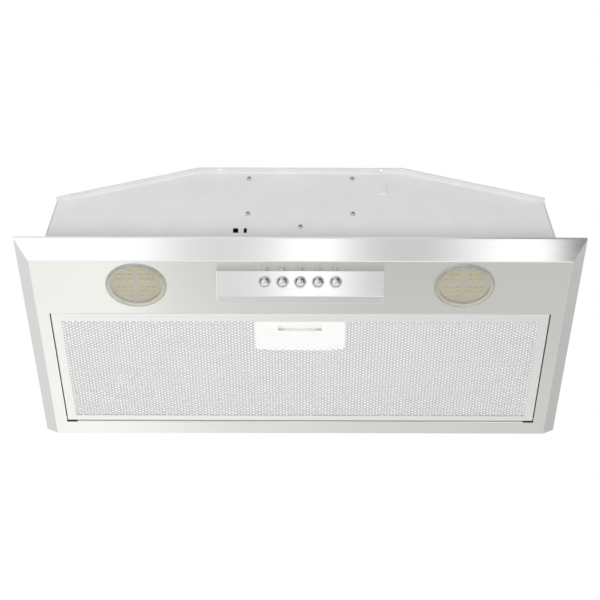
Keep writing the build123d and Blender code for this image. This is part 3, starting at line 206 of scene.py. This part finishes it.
SHEET_LEVEL = FLOOR_LEVEL + 0.02
WARM = (1, 1, 0.96)
COOL = (0.99, 0.99, 1.02)
glow_sheet(
    "near_floor_shades", 5.0, 1.5, Matrix.Translation((0, -0.45, SHEET_LEVEL)), ((-2.5, 1.1), (2.5, 1.1)),
)
glow_sheet(
    "pod_floor_shades", 5.0, 1.0, Matrix.Translation((0, 0.8, SHEET_LEVEL)),
    ((-2.5, 1.06), (-0.45, 1.0), (-0.3, 0.4), (0.3, 0.4), (0.5, 0.56), (2.5, 0.58)), WARM,
)
glow_sheet(
    "floor_shades", 5.0, 0.7, Matrix.Translation((0, 1.65, SHEET_LEVEL)),
    (
        (-2.5, 0.98), (-0.75, 0.98), (-0.55, 1.06), (-0.3, 0.82),
        (-0.1, 0.74), (0.27, 0.59), (2.5, 0.58),
    ),
    WARM,
)
glow_sheet(
    "far_floor_shades", 5.0, 2.5, Matrix.Translation((0, 3.25, SHEET_LEVEL)),
    (
        (-2.5, 1.2), (-0.62, 1.18), (-0.43, 1.14), (-0.14, 0.98),
        (0.14, 0.92), (0.43, 0.87), (0.63, 0.8), (2.5, 0.75),
    ),
)
glow_sheet(
    "camera_shades", 8.0, 2.4, Matrix.Translation(EYE) @ turn @ Matrix.Translation((0, 0, 0.2)),
    (
        (-4.0, 0.1), (-2.3, 0.1), (-2.0, 1.3), (-0.4, 1.3), (-0.3, 0.85), (-0.2, 0.79), (-0.1, 0.88),
        (-0.02, 1.4), (0.07, 1.4), (0.16, 0.75), (0.25, 0.64), (0.34, 0.68), (0.44, 1.05), (0.54, 1.5),
        (0.65, 1.5), (0.69, 0.1), (1.0, 0.1), (1.2, 1.2), (1.5, 1.2), (1.7, 0.1), (4.0, 0.1),
    ),
    COOL,
)
glow_sheet(
    "dark_flat", 8.0, 3.2, Matrix.Translation((0, -2.6, 1.0)) @ Matrix.Rotation(math.pi / 2, 4, "X"),
    ((-4.0, 0.1), (-1.4, 0.1), (-1.2, 0.95), (-0.6, 0.9), (0.4, 0.7), (0.65, 0.2), (1.0, 0.1), (4.0, 0.1)),
)
for side_name, side, brightness in (("left", -1, 0.8), ("right", 1, 0.56)):
    aim = Vector((-side * 0.63, -0.74, -0.25)).to_track_quat("Z", "Y").to_matrix().to_4x4()
    glow_sheet(
        "side_shades_" + side_name, 2.6, 2.6, Matrix.Translation((side * 2.2, 2.6, 0.9)) @ aim,
        ((-3.4, brightness), (3.4, brightness)),
    )


# Bottom panel
# One pressed tray of brushed stainless sheet with a bevelled rim all round. The brushing runs along
# the width, and the opening for the filter has its front and rear edges bent up.
STEEL = (0.86, 0.86, 0.845)
STEEL_DULL = (0.82, 0.82, 0.805)
NOISE_LOW = 0.3
NOISE_HIGH = 0.7


def new_finish(name, colour, metallic, roughness):
    """A material of one plain colour, ready to take patterns."""
    finish = bpy.data.materials.new(name)
    finish.use_nodes = True
    shader = finish.node_tree.nodes["Principled BSDF"]
    shader.inputs["Base Color"].default_value = (*colour, 1)
    shader.inputs["Metallic"].default_value = metallic
    shader.inputs["Roughness"].default_value = roughness
    return finish


def grain(finish, scale, stretch=(1, 1, 1), detail=3):
    """A noise on the piece's own coordinates, in cells per metre along each axis."""
    tree = finish.node_tree
    place = tree.nodes.new("ShaderNodeTexCoord")
    mapping = tree.nodes.new("ShaderNodeMapping")
    mapping.inputs["Scale"].default_value = stretch
    noise = tree.nodes.new("ShaderNodeTexNoise")
    noise.inputs["Scale"].default_value = scale
    noise.inputs["Detail"].default_value = detail
    tree.links.new(place.outputs["Object"], mapping.inputs["Vector"])
    tree.links.new(mapping.outputs[0], noise.inputs["Vector"])
    return noise.outputs["Fac"]


def shade(finish, pattern, low, high):
    """Lets a pattern mix two colours."""
    tree = finish.node_tree
    ramp = tree.nodes.new("ShaderNodeValToRGB")
    ramp.color_ramp.elements[0].position = NOISE_LOW
    ramp.color_ramp.elements[0].color = (*low, 1)
    ramp.color_ramp.elements[1].position = NOISE_HIGH
    ramp.color_ramp.elements[1].color = (*high, 1)
    tree.links.new(pattern, ramp.inputs[0])
    tree.links.new(ramp.outputs[0], tree.nodes["Principled BSDF"].inputs["Base Color"])


def gloss(finish, pattern, low, high):
    """Lets a pattern vary the roughness."""
    tree = finish.node_tree
    span = tree.nodes.new("ShaderNodeMapRange")
    span.inputs["From Min"].default_value = NOISE_LOW
    span.inputs["From Max"].default_value = NOISE_HIGH
    span.inputs["To Min"].default_value = low
    span.inputs["To Max"].default_value = high
    tree.links.new(pattern, span.inputs["Value"])
    tree.links.new(span.outputs[0], tree.nodes["Principled BSDF"].inputs["Roughness"])


def relief(finish, pattern, depth):
    """Lets a pattern raise the surface by a depth in metres."""
    tree = finish.node_tree
    bump = tree.nodes.new("ShaderNodeBump")
    bump.inputs["Strength"].default_value = 1
    bump.inputs["Distance"].default_value = depth
    tree.links.new(pattern, bump.inputs["Height"])
    tree.links.new(bump.outputs[0], tree.nodes["Principled BSDF"].inputs["Normal"])


def brush(finish, amount):
    """Draws reflections out across a brushing that runs along X."""
    tree = finish.node_tree
    shader = tree.nodes["Principled BSDF"]
    along = tree.nodes.new("ShaderNodeCombineXYZ")
    along.inputs["X"].default_value = 1
    tree.links.new(along.outputs[0], shader.inputs["Tangent"])
    shader.inputs["Anisotropic"].default_value = amount
    shader.inputs["Anisotropic Rotation"].default_value = 0.25


def coat(finish, *names):
    """Gives the finish to pieces of the frame."""
    for name in names:
        materials = nodes[name].data.materials
        materials.clear()
        materials.append(finish)


brushed_steel = new_finish("brushed_steel", STEEL, 1, 0.185)
shade(brushed_steel, grain(brushed_steel, 1, (14, 1500, 1500), 4), STEEL_DULL, STEEL)
gloss(brushed_steel, grain(brushed_steel, 1, (20, 700, 700), 2), 0.17, 0.2)
relief(brushed_steel, grain(brushed_steel, 1, (9, 1500, 1500), 2), 0.000012)
brush(brushed_steel, 0.97)
coat(brushed_steel, "bottom_panel", "control_pod")

# Filter hooks
# Two small bent steel brackets, spot welded to the inside of the tray behind the filter opening.
# Each has a hole that the filter's pivot pin drops into. The hood's pins, shaft, nut, bearings and
# spring are of the same bare steel.
plain_steel = new_finish("plain_steel", (0.7, 0.7, 0.7), 1, 0.35)
shade(plain_steel, grain(plain_steel, 220), (0.62, 0.62, 0.63), (0.74, 0.74, 0.74))
gloss(plain_steel, grain(plain_steel, 500), 0.28, 0.42)
coat(
    plain_steel, "filter_hooks", "filter_pivots", "latch_spring",
    "damper_pin", "motor_shaft", "shaft_nut", "motor_bearings",
)

# Housing
# A wrap of thin sheet makes the sides, shoulders and roof, and a folded plate closes each end. All
# of it is galvanised sheet under a pale grey satin coat.
HOUSING = (0.79, 0.79, 0.8)
satin_grey = new_finish("satin_grey", HOUSING, 0, 0.42)
shade(satin_grey, grain(satin_grey, 26, detail=5), (0.765, 0.765, 0.778), (0.8, 0.8, 0.81))
gloss(satin_grey, grain(satin_grey, 90), 0.36, 0.5)
relief(satin_grey, grain(satin_grey, 900, detail=2), 0.00001)
coat(satin_grey, "housing_wrap", "front_plate", "back_plate")

# Screws
# Zinc-plated pan-head screws with a cross recess: five hold the electrical box and a cable clip to
# the front plate, four hold the collar, and two hold the control pod from inside.
SCREW_HEAD_RADIUS = 0.0035
SCREW_HEAD = 0.0022
SCREW_SHANK = 0.002
SCREW_STEPS = 24
HEAD_STEPS = 6
RECESS_DEPTH = 0.0013
RECESS_REACH = 0.0024
RECESS_HALF_ANGLE = 15
PLATE_SHEET = 0.0008
BOX_SCREW_X = 0.0665
BOX_SCREW_LOW = 0.077
BOX_SCREW_HIGH = 0.141
CLIP_SCREW_LEVEL = 0.054
PLATE_SCREW_LENGTH = 0.010
COLLAR_FLANGE = 0.0025
COLLAR_SCREW_CIRCLE = 0.08125
COLLAR_SCREW_LENGTH = 0.0063
TRAY_SHEET = 0.001
POD_SCREW_X = 0.088
POD_SCREW_Y = -0.1326
POD_SCREW_LENGTH = 0.0078
SHARP_ANGLE = math.radians(32)
SAME_POINT = 1e-7


def make_piece(name, shape, body, slot, *finishes):
    """Turns a finished shape into a piece that moves with a body."""
    for face in shape.faces:
        face.smooth = True
    mesh = bpy.data.meshes.new(name)
    shape.to_mesh(mesh)
    shape.free()
    mesh.set_sharp_from_angle(angle=SHARP_ANGLE)
    for finish in finishes:
        mesh.materials.append(finish)
    piece = bpy.data.objects.new(name, mesh)
    scene.collection.objects.link(piece)
    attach(piece, body)
    return piece


def lathe(shape, profile, place, steps):
    """Spins a profile of (radius, height) points about the local Z axis and returns the new faces."""
    before = set(shape.faces)
    points = [shape.verts.new((radius, 0, height)) for radius, height in profile]
    edges = [shape.edges.new(pair) for pair in zip(points, points[1:])]
    bmesh.ops.spin(
        shape, geom=points + edges, cent=(0, 0, 0), axis=(0, 0, 1),
        angle=2 * math.pi, steps=steps, use_merge=True,
    )
    made = [face for face in shape.faces if face not in before]
    rim = list({vert for face in made for vert in face.verts})
    bmesh.ops.remove_doubles(shape, verts=rim, dist=SAME_POINT)
    made = [face for face in shape.faces if face not in before]
    bmesh.ops.recalc_face_normals(shape, faces=made)
    rim = list({vert for face in made for vert in face.verts})
    bmesh.ops.transform(shape, matrix=place, verts=rim)
    return made


def cross_screw(shape, place, length):
    """A pan head on the local XY plane, with its cross recess, and its shank below."""
    profile = [(0, -length), (SCREW_SHANK * 0.6, -length), (SCREW_SHANK, -length + SCREW_SHANK)]
    profile += [(SCREW_SHANK, 0), (SCREW_HEAD_RADIUS, 0)]
    for part in range(HEAD_STEPS):
        angle = part / HEAD_STEPS * math.pi / 2
        profile.append((
            SCREW_HEAD_RADIUS * (0.55 + 0.45 * math.cos(angle)),
            SCREW_HEAD * (0.45 + 0.55 * math.sin(angle)),
        ))
    profile += [(RECESS_REACH, SCREW_HEAD), (RECESS_REACH * 0.45, SCREW_HEAD), (0, SCREW_HEAD)]
    made = lathe(shape, profile, Matrix(), SCREW_STEPS)
    cross = []
    for face in made:
        middle = face.calc_center_median()
        reach = math.hypot(middle.x, middle.y)
        turned = math.degrees(math.atan2(middle.y, middle.x)) % 90
        if middle.z > SCREW_HEAD * 0.99 and reach < RECESS_REACH * 0.9:
            if reach < RECESS_REACH * 0.4 or min(turned, 90 - turned) < RECESS_HALF_ANGLE:
                cross.append(face)
    sunk = bmesh.ops.extrude_face_region(shape, geom=cross)
    low = [item for item in sunk["geom"] if isinstance(item, bmesh.types.BMVert)]
    # The recess walls and floor take the second finish, which is a dark painted shade.
    for vert in low:
        for face in vert.link_faces:
            face.material_index = 1
    bmesh.ops.translate(shape, vec=(0, 0, -RECESS_DEPTH), verts=low)
    bmesh.ops.delete(shape, geom=cross, context="FACES")
    verts = list({vert for face in made if face.is_valid for vert in face.verts} | set(low))
    bmesh.ops.transform(shape, matrix=place, verts=verts)


zinc = new_finish("zinc_plate", (0.72, 0.72, 0.73), 1, 0.28)
shade(zinc, grain(zinc, 700), (0.64, 0.65, 0.67), (0.76, 0.76, 0.76))
gloss(zinc, grain(zinc, 900), 0.2, 0.38)
# The recess finish is a near-black painted shade. The real recess is the same zinc plate as the head.
recess_painted_shade = new_finish("screw_recess_painted_shade", (0.07, 0.07, 0.075), 1, 0.4)
shade(recess_painted_shade, grain(recess_painted_shade, 900), (0.05, 0.05, 0.055), (0.1, 0.1, 0.105))
plate_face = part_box("electrical_box")[0].y - PLATE_SHEET
collar_low, collar_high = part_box("outlet_collar")
pod_low, pod_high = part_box("control_pod")
panel_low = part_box("bottom_panel")[0]
screws = bmesh.new()
facing_front = Matrix.Rotation(math.pi / 2, 4, "X")
plate_spots = [(side * BOX_SCREW_X, z) for z in (BOX_SCREW_LOW, BOX_SCREW_HIGH) for side in (-1, 1)]
for x, z in plate_spots + [(0, CLIP_SCREW_LEVEL)]:
    cross_screw(screws, Matrix.Translation((x, plate_face, z)) @ facing_front, PLATE_SCREW_LENGTH)
collar_middle = (collar_low + collar_high) / 2
for quarter in range(4):
    angle = math.radians(45 + 90 * quarter)
    spot = Vector((math.cos(angle), math.sin(angle), 0)) * COLLAR_SCREW_CIRCLE
    level = collar_low.z + COLLAR_FLANGE
    cross_screw(screws, Matrix.Translation((spot.x, collar_middle.y + spot.y, level)), COLLAR_SCREW_LENGTH)
for side in (-1, 1):
    spot = Vector((side * POD_SCREW_X, POD_SCREW_Y, panel_low.z + TRAY_SHEET))
    cross_screw(screws, Matrix.Translation(spot), POD_SCREW_LENGTH)
screws = make_piece("pan_head_screws", screws, "housing", "bright_steel", zinc, recess_painted_shade)
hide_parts("case_screws")
coat(zinc, "motor_screws")

# Outlet collar and damper
# A moulded collar screwed to the roof takes the duct. Two half-round flaps swing on one steel pin
# inside it and fall shut when the blower stops.
black_moulding = new_finish("black_moulding", (0.03, 0.03, 0.032), 0, 0.45)
shade(black_moulding, grain(black_moulding, 60), (0.024, 0.024, 0.026), (0.038, 0.038, 0.04))
gloss(black_moulding, grain(black_moulding, 300), 0.38, 0.55)
relief(black_moulding, grain(black_moulding, 1400, detail=1), 0.00002)
coat(
    black_moulding, "outlet_collar", "mains_gland", "gland_nut",
    "cable_clip", "switch_block", "electrical_box",
)
grey_moulding = new_finish("grey_moulding", (0.3, 0.31, 0.32), 0, 0.5)
shade(grey_moulding, grain(grey_moulding, 45), (0.27, 0.28, 0.29), (0.33, 0.34, 0.35))
gloss(grey_moulding, grain(grey_moulding, 250), 0.42, 0.58)
relief(grey_moulding, grain(grey_moulding, 1200, detail=1), 0.000015)
coat(grey_moulding, "damper_flap_front", "damper_flap_rear", "latch_guide")

# Blower
# A scroll of galvanised sheet hangs from the roof under the collar. A rolled drum of curved blades
# turns inside it on the motor shaft.
galvanised = new_finish("galvanised", (0.66, 0.67, 0.69), 1, 0.4)
galvanised_tree = galvanised.node_tree
spangle_place = galvanised_tree.nodes.new("ShaderNodeTexCoord")
spangle = galvanised_tree.nodes.new("ShaderNodeTexVoronoi")
spangle.inputs["Scale"].default_value = 130
galvanised_tree.links.new(spangle_place.outputs["Object"], spangle.inputs["Vector"])
shade(galvanised, spangle.outputs["Color"], (0.56, 0.57, 0.59), (0.74, 0.75, 0.76))
gloss(galvanised, spangle.outputs["Color"], 0.28, 0.5)
coat(galvanised, "blower_flange", "blower_band", "blower_side_left", "blower_side_right", "impeller")

# Motor
# A closed motor with a painted can and end cap sits inside the drum. A three-armed spider holds it
# to the left side of the scroll on rubber grommets.
motor_paint = new_finish("motor_paint", (0.45, 0.46, 0.47), 0, 0.4)
shade(motor_paint, grain(motor_paint, 120), (0.42, 0.43, 0.44), (0.47, 0.48, 0.49))
gloss(motor_paint, grain(motor_paint, 400), 0.3, 0.5)
coat(motor_paint, "motor_can", "motor_end_cap", "motor_spider")
laminations = new_finish("laminations", (0.32, 0.31, 0.3), 1, 0.5)
relief(laminations, grain(laminations, 1, (2000, 4, 4), 1), 0.00004)
shade(laminations, grain(laminations, 1, (2000, 4, 4), 1), (0.24, 0.24, 0.24), (0.4, 0.39, 0.38))
coat(laminations, "motor_stator", "motor_rotor")
soft_rubber = new_finish("soft_rubber", (0.03, 0.03, 0.03), 0, 0.8)
shade(soft_rubber, grain(soft_rubber, 300), (0.022, 0.022, 0.022), (0.045, 0.045, 0.044))
relief(soft_rubber, grain(soft_rubber, 1500), 0.00002)
coat(soft_rubber, "motor_grommets")

# Electrical parts
# A moulded box behind the front plate holds the run capacitor, the terminal block and the lamp
# driver. Round leads go from it to the motor, the switches and the lamps.
white_moulding = new_finish("white_moulding", (0.82, 0.82, 0.8), 0, 0.4)
shade(white_moulding, grain(white_moulding, 60), (0.79, 0.79, 0.77), (0.84, 0.84, 0.82))
gloss(white_moulding, grain(white_moulding, 300), 0.34, 0.5)
relief(white_moulding, grain(white_moulding, 1300, detail=1), 0.000012)
coat(white_moulding, "run_capacitor", "terminal_block", "led_driver", "latch_slider")
grey_sheath = new_finish("grey_sheath", (0.42, 0.42, 0.42), 0, 0.5)
shade(grey_sheath, grain(grey_sheath, 150), (0.37, 0.37, 0.37), (0.46, 0.46, 0.46))
gloss(grey_sheath, grain(grey_sheath, 500), 0.42, 0.6)
coat(grey_sheath, "switch_lead", "lamp_leads", "motor_lead")

# Push buttons
# Five chromed caps in pressed chrome rings on the sloping face of the pod. Each cap has a domed top
# and a stem that runs in the switch block behind the face.
CAP_RADIUS = 0.0054
CAP_HEIGHT = 0.0050
CAP_ROUND = 0.0009
CAP_DOME = 0.0011
RING_RADIUS = 0.0078
RING_HEIGHT = 0.0018
RING_BORE = 0.0056
RING_CROWN = 0.0007
STEM_RADIUS = 0.0035
STEM_END = -0.0150
CAP_BASE = -0.0010
FACE_DROP = 0.0134
TURN_STEPS = 40
ARC_STEPS = 6
DOME_STEPS = 8
button_names = ("button_off", "button_low", "button_medium", "button_high", "button_lamp")
press = Vector(next(j["axis"] for j in frame["joints"] if j["name"] == "button_off_press"))
face_down = Vector((0, press.z, -press.y))
chrome = new_finish("chrome", (0.7, 0.7, 0.71), 1, 0.06)
gloss(chrome, grain(chrome, 260), 0.04, 0.08)
shade(chrome, grain(chrome, 90), (0.67, 0.67, 0.68), (0.73, 0.73, 0.74))


def face_place(x):
    """The place of a button on the pod's face, with local Z standing out of it."""
    start = Vector((x, pod_low.y, pod_high.z)) + face_down * FACE_DROP
    turned = Matrix((Vector((1, 0, 0)), -face_down, -press)).transposed().to_4x4()
    return Matrix.Translation(start) @ turned


cap_profile = [(0, STEM_END), (STEM_RADIUS, STEM_END), (STEM_RADIUS, CAP_BASE), (CAP_RADIUS, CAP_BASE)]
for part in range(ARC_STEPS + 1):
    angle = part / ARC_STEPS * math.pi / 3
    cap_profile.append((
        CAP_RADIUS - CAP_ROUND * (1 - math.cos(angle)),
        CAP_HEIGHT - CAP_DOME - CAP_ROUND * (1 - math.sin(angle)),
    ))
dome_radius, dome_foot = cap_profile[-1]
for part in range(1, DOME_STEPS + 1):
    share = 1 - part / DOME_STEPS
    cap_profile.append((dome_radius * share, CAP_HEIGHT - (CAP_HEIGHT - dome_foot) * share * share))
ring_profile = [(RING_BORE, 0), (RING_RADIUS, 0)]
ring_middle = (RING_RADIUS + RING_BORE) / 2
for part in range(ARC_STEPS + 1):
    angle = part / ARC_STEPS * math.pi
    ring_profile.append((
        ring_middle + (RING_RADIUS - ring_middle) * math.cos(angle),
        RING_HEIGHT - RING_CROWN + RING_CROWN * math.sin(angle),
    ))
ring_profile.append((RING_BORE, 0))
rings = bmesh.new()
for name in button_names:
    low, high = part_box(name)
    x = (low.x + high.x) / 2
    lathe(rings, ring_profile, face_place(x), TURN_STEPS)
    cap = bmesh.new()
    lathe(cap, cap_profile, face_place(x), TURN_STEPS)
    cap = make_piece(name + "_cap", cap, name + "_key", "chrome", chrome)
    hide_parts(name)
rings = make_piece("button_rings", rings, "housing", "chrome", chrome)
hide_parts("button_bezels")

# Lamps
# Each lamp is a satin ring clipped through the tray, a frosted lens, and a round board with four
# groups of yellow chips in an aluminium can.
LENS_DOME = 0.0004
LENS_ROUND = 0.0008
CHIP = 0.0052
CHIP_HEIGHT = 0.0008
CHIP_GRID = 0.0078
CHIP_CROSS = 0.0072
CHIP_BORDER = 0.14
CHIP_DISH = 0.0002
LENS_STEPS = 64
GROUP_SPOTS = ((0, 0), (1, 0), (2, 0), (0, 1), (1, 1), (2, 1), (0, 2), (1, 2))
satin_ring = new_finish("satin_ring", (0.46, 0.46, 0.46), 0.4, 0.3)
gloss(satin_ring, grain(satin_ring, 400), 0.25, 0.35)
shade(satin_ring, grain(satin_ring, 120), (0.44, 0.44, 0.44), (0.48, 0.48, 0.48))
coat(satin_ring, "lamp_left_bezel", "lamp_right_bezel")
spun_can = new_finish("spun_can", (0.72, 0.72, 0.72), 1, 0.4)
gloss(spun_can, grain(spun_can, 300), 0.32, 0.5)
shade(spun_can, grain(spun_can, 90), (0.66, 0.66, 0.66), (0.76, 0.76, 0.76))
coat(spun_can, "lamp_cans")
frosted = new_finish("frosted_lens", (0.86, 0.85, 0.76), 0, 0.1)
frosted_shader = frosted.node_tree.nodes["Principled BSDF"]
frosted_shader.inputs["Transmission Weight"].default_value = 0.88
frosted_shader.inputs["IOR"].default_value = 1.45
gloss(frosted, grain(frosted, 1200), 0.07, 0.13)
board_mask = new_finish("board_mask", (0.53, 0.51, 0.53), 0, 0.45)
shade(board_mask, grain(board_mask, 200), (0.5, 0.48, 0.5), (0.56, 0.54, 0.56))
phosphor = new_finish("phosphor", (0.65, 0.55, 0.27), 0, 0.5)
shade(phosphor, grain(phosphor, 900), (0.62, 0.52, 0.24), (0.68, 0.58, 0.3))
chip_case = new_finish("chip_case", (0.63, 0.56, 0.34), 0, 0.4)
shade(chip_case, grain(chip_case, 600), (0.6, 0.53, 0.31), (0.66, 0.59, 0.37))
boards = bmesh.new()
board_low, board_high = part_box("lamp_boards")
chip_level = board_low.z + CHIP_HEIGHT
for side in ("left", "right"):
    low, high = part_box(f"lamp_{side}_lens")
    centre = (low + high) / 2
    radius = (high.x - low.x) / 2
    flat = radius - LENS_ROUND
    profile = []
    for part in range(ARC_STEPS):
        share = part / ARC_STEPS
        profile.append((flat * share, low.z + LENS_DOME * share ** 4))
    for part in range(ARC_STEPS + 1):
        angle = part / ARC_STEPS * math.pi / 2
        profile.append((
            flat + LENS_ROUND * math.sin(angle),
            low.z + LENS_DOME + LENS_ROUND * (1 - math.cos(angle)),
        ))
    profile += [(radius, high.z), (0, high.z)]
    lens = bmesh.new()
    lathe(lens, profile, Matrix.Translation((centre.x, centre.y, 0)), LENS_STEPS)
    lens = make_piece(f"lamp_{side}_window", lens, "housing", "lens_clear", frosted)
    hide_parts(f"lamp_{side}_lens")
    disc = board_high.x - abs(centre.x)
    lathe(
        boards, [(0, chip_level), (disc, chip_level), (disc, board_high.z), (0, board_high.z)],
        Matrix.Translation((centre.x, centre.y, 0)), LENS_STEPS,
    )
    for across in (-1, 1):
        for along in (-1, 1):
            for column, row in GROUP_SPOTS:
                spot = Vector((
                    centre.x + across * (CHIP_CROSS + column * CHIP_GRID),
                    centre.y + along * (CHIP_CROSS + row * CHIP_GRID),
                    chip_level - CHIP_HEIGHT / 2,
                ))
                size = Matrix.Diagonal((CHIP, CHIP, CHIP_HEIGHT, 1))
                made = bmesh.ops.create_cube(boards, size=1, matrix=Matrix.Translation(spot) @ size)
                faces = {face for vert in made["verts"] for face in vert.link_faces}
                under = min(faces, key=lambda face: face.calc_center_median().z)
                for face in faces:
                    face.material_index = 1
                bmesh.ops.inset_individual(
                    boards, faces=[under], thickness=CHIP * CHIP_BORDER, depth=-CHIP_DISH,
                )
                under.material_index = 2
boards = make_piece("lamp_chip_boards", boards, "housing", "lamp_board", board_mask, chip_case, phosphor)
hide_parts("lamp_boards")

# Grease filter
# A folded aluminium frame holds layers of aluminium mesh between two sheets of expanded mesh. It
# hangs on two pivot pins at the rear.
ALUMINIUM = (0.83, 0.83, 0.82)
filter_skin = new_finish("filter_skin", ALUMINIUM, 0.8, 0.36)
shade(filter_skin, grain(filter_skin, 1, (10, 700, 700), 3), (0.81, 0.81, 0.8), (0.85, 0.85, 0.84))
gloss(filter_skin, grain(filter_skin, 160), 0.33, 0.39)
coat(filter_skin, "filter_frame")
# The pack is a near-white matte, brighter than the strands in front of it, so the gaps show as bright
# dots. This is partly the pale aluminium's own colour and partly a painted highlight.
mesh_pack_and_highlight = new_finish("mesh_pack_and_highlight", (0.9, 0.9, 0.89), 0, 0.5)
shade(mesh_pack_and_highlight, grain(mesh_pack_and_highlight, 420, detail=4), (0.92, 0.92, 0.91), (0.97, 0.97, 0.96))
relief(mesh_pack_and_highlight, grain(mesh_pack_and_highlight, 420, detail=4), 0.0003)
coat(mesh_pack_and_highlight, "filter_core")

# Expanded mesh sheets
# Thin aluminium sheet, slit and drawn out into small hexagonal gaps in staggered columns. One sheet
# lies on each face of the filter, with its edges inside the frame.
GAP_COLUMNS = 0.00807
GAP_ROWS = 0.00513
STRAND = 0.00092
JOIN_REACH = 1e-5
# The strands are the same aluminium as the pack but a darker grey. This is partly their own colour and
# partly painted shade.
strand_metal_and_shade = new_finish("strand_metal_and_shade", (0.62, 0.62, 0.62), 0.55, 0.35)
shade(strand_metal_and_shade, grain(strand_metal_and_shade, 300), (0.58, 0.58, 0.58), (0.66, 0.66, 0.66))
gloss(strand_metal_and_shade, grain(strand_metal_and_shade, 500), 0.3, 0.4)
guide_low, guide_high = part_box("latch_guide")


def expanded_sheet(name, node):
    """A sheet of staggered hexagonal gaps that fills the place of a plainer sheet."""
    low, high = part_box(node)
    cell = bmesh.new()
    bmesh.ops.create_circle(cell, cap_ends=True, segments=6, radius=1)
    bmesh.ops.rotate(cell, matrix=Matrix.Rotation(math.pi / 6, 3, "Z"), verts=cell.verts)
    bmesh.ops.scale(cell, vec=(GAP_COLUMNS / 3, GAP_ROWS / math.sqrt(3), 1), verts=cell.verts)
    hexagon = cell.faces[:]
    bmesh.ops.inset_individual(cell, faces=hexagon, thickness=STRAND)
    bmesh.ops.delete(cell, geom=hexagon, context="FACES")
    columns = int((high.x - low.x - GAP_COLUMNS / 2) / GAP_COLUMNS)
    rows = int((high.y - low.y - GAP_ROWS / 2) / GAP_ROWS)
    start = Vector((
        (low.x + high.x) / 2 - (columns - 0.5) * GAP_COLUMNS / 2,
        (low.y + high.y) / 2 - (rows - 0.5) * GAP_ROWS / 2,
        high.z,
    ))
    bmesh.ops.translate(cell, vec=start, verts=cell.verts)
    mesh = bpy.data.meshes.new(name)
    cell.to_mesh(mesh)
    cell.free()
    pattern = bpy.data.objects.new(name + "_pattern", mesh)
    scene.collection.objects.link(pattern)
    for count, step in (
        (2, (GAP_COLUMNS / 2, GAP_ROWS / 2, 0)),
        (columns, (GAP_COLUMNS, 0, 0)),
        (rows, (0, GAP_ROWS, 0)),
    ):
        repeat = pattern.modifiers.new("repeat", "ARRAY")
        repeat.count = count
        repeat.use_relative_offset = False
        repeat.use_constant_offset = True
        repeat.constant_offset_displace = step
        repeat.use_merge_vertices = True
        repeat.merge_threshold = JOIN_REACH
    whole = bpy.data.meshes.new_from_object(pattern.evaluated_get(bpy.context.evaluated_depsgraph_get()))
    bpy.data.objects.remove(pattern)
    sheet = bmesh.new()
    sheet.from_mesh(whole)
    return sheet, high.z - low.z


for face_name in ("outer", "inner"):
    sheet_name = "mesh_sheet_" + face_name
    node = "filter_mesh_" + face_name
    sheet, thickness = expanded_sheet(sheet_name, node)
    bmesh.ops.remove_doubles(sheet, verts=sheet.verts, dist=2 * JOIN_REACH)
    if face_name == "outer":
        covered = [
            face for face in sheet.faces
            if guide_low.x - GAP_COLUMNS < face.calc_center_median().x < guide_high.x + GAP_COLUMNS
            and face.calc_center_median().y < guide_high.y + GAP_ROWS
        ]
        bmesh.ops.delete(sheet, geom=covered, context="FACES")
    sheet.faces.ensure_lookup_table()
    if sheet.faces[0].normal.z < 0:
        bmesh.ops.reverse_faces(sheet, faces=sheet.faces)
    sheet = make_piece(sheet_name, sheet, "filter", "filter_aluminium", strand_metal_and_shade)
    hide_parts(node)
    body = sheet.modifiers.new("thickness", "SOLIDIFY")
    body.thickness = thickness
    body.offset = -1

# Handle
# A pale pressed plate riveted over the front of the filter, with a slot for a fingertip. Behind it
# a white slider runs in a grey guide and locks the filter into the tray.
pale_plate = new_finish("pale_plate", (0.83, 0.83, 0.82), 0, 0.4)
shade(pale_plate, grain(pale_plate, 40), (0.815, 0.815, 0.805), (0.845, 0.845, 0.835))
gloss(pale_plate, grain(pale_plate, 300), 0.34, 0.5)
relief(pale_plate, grain(pale_plate, 1100, detail=1), 0.000008)
coat(pale_plate, "handle_plate")
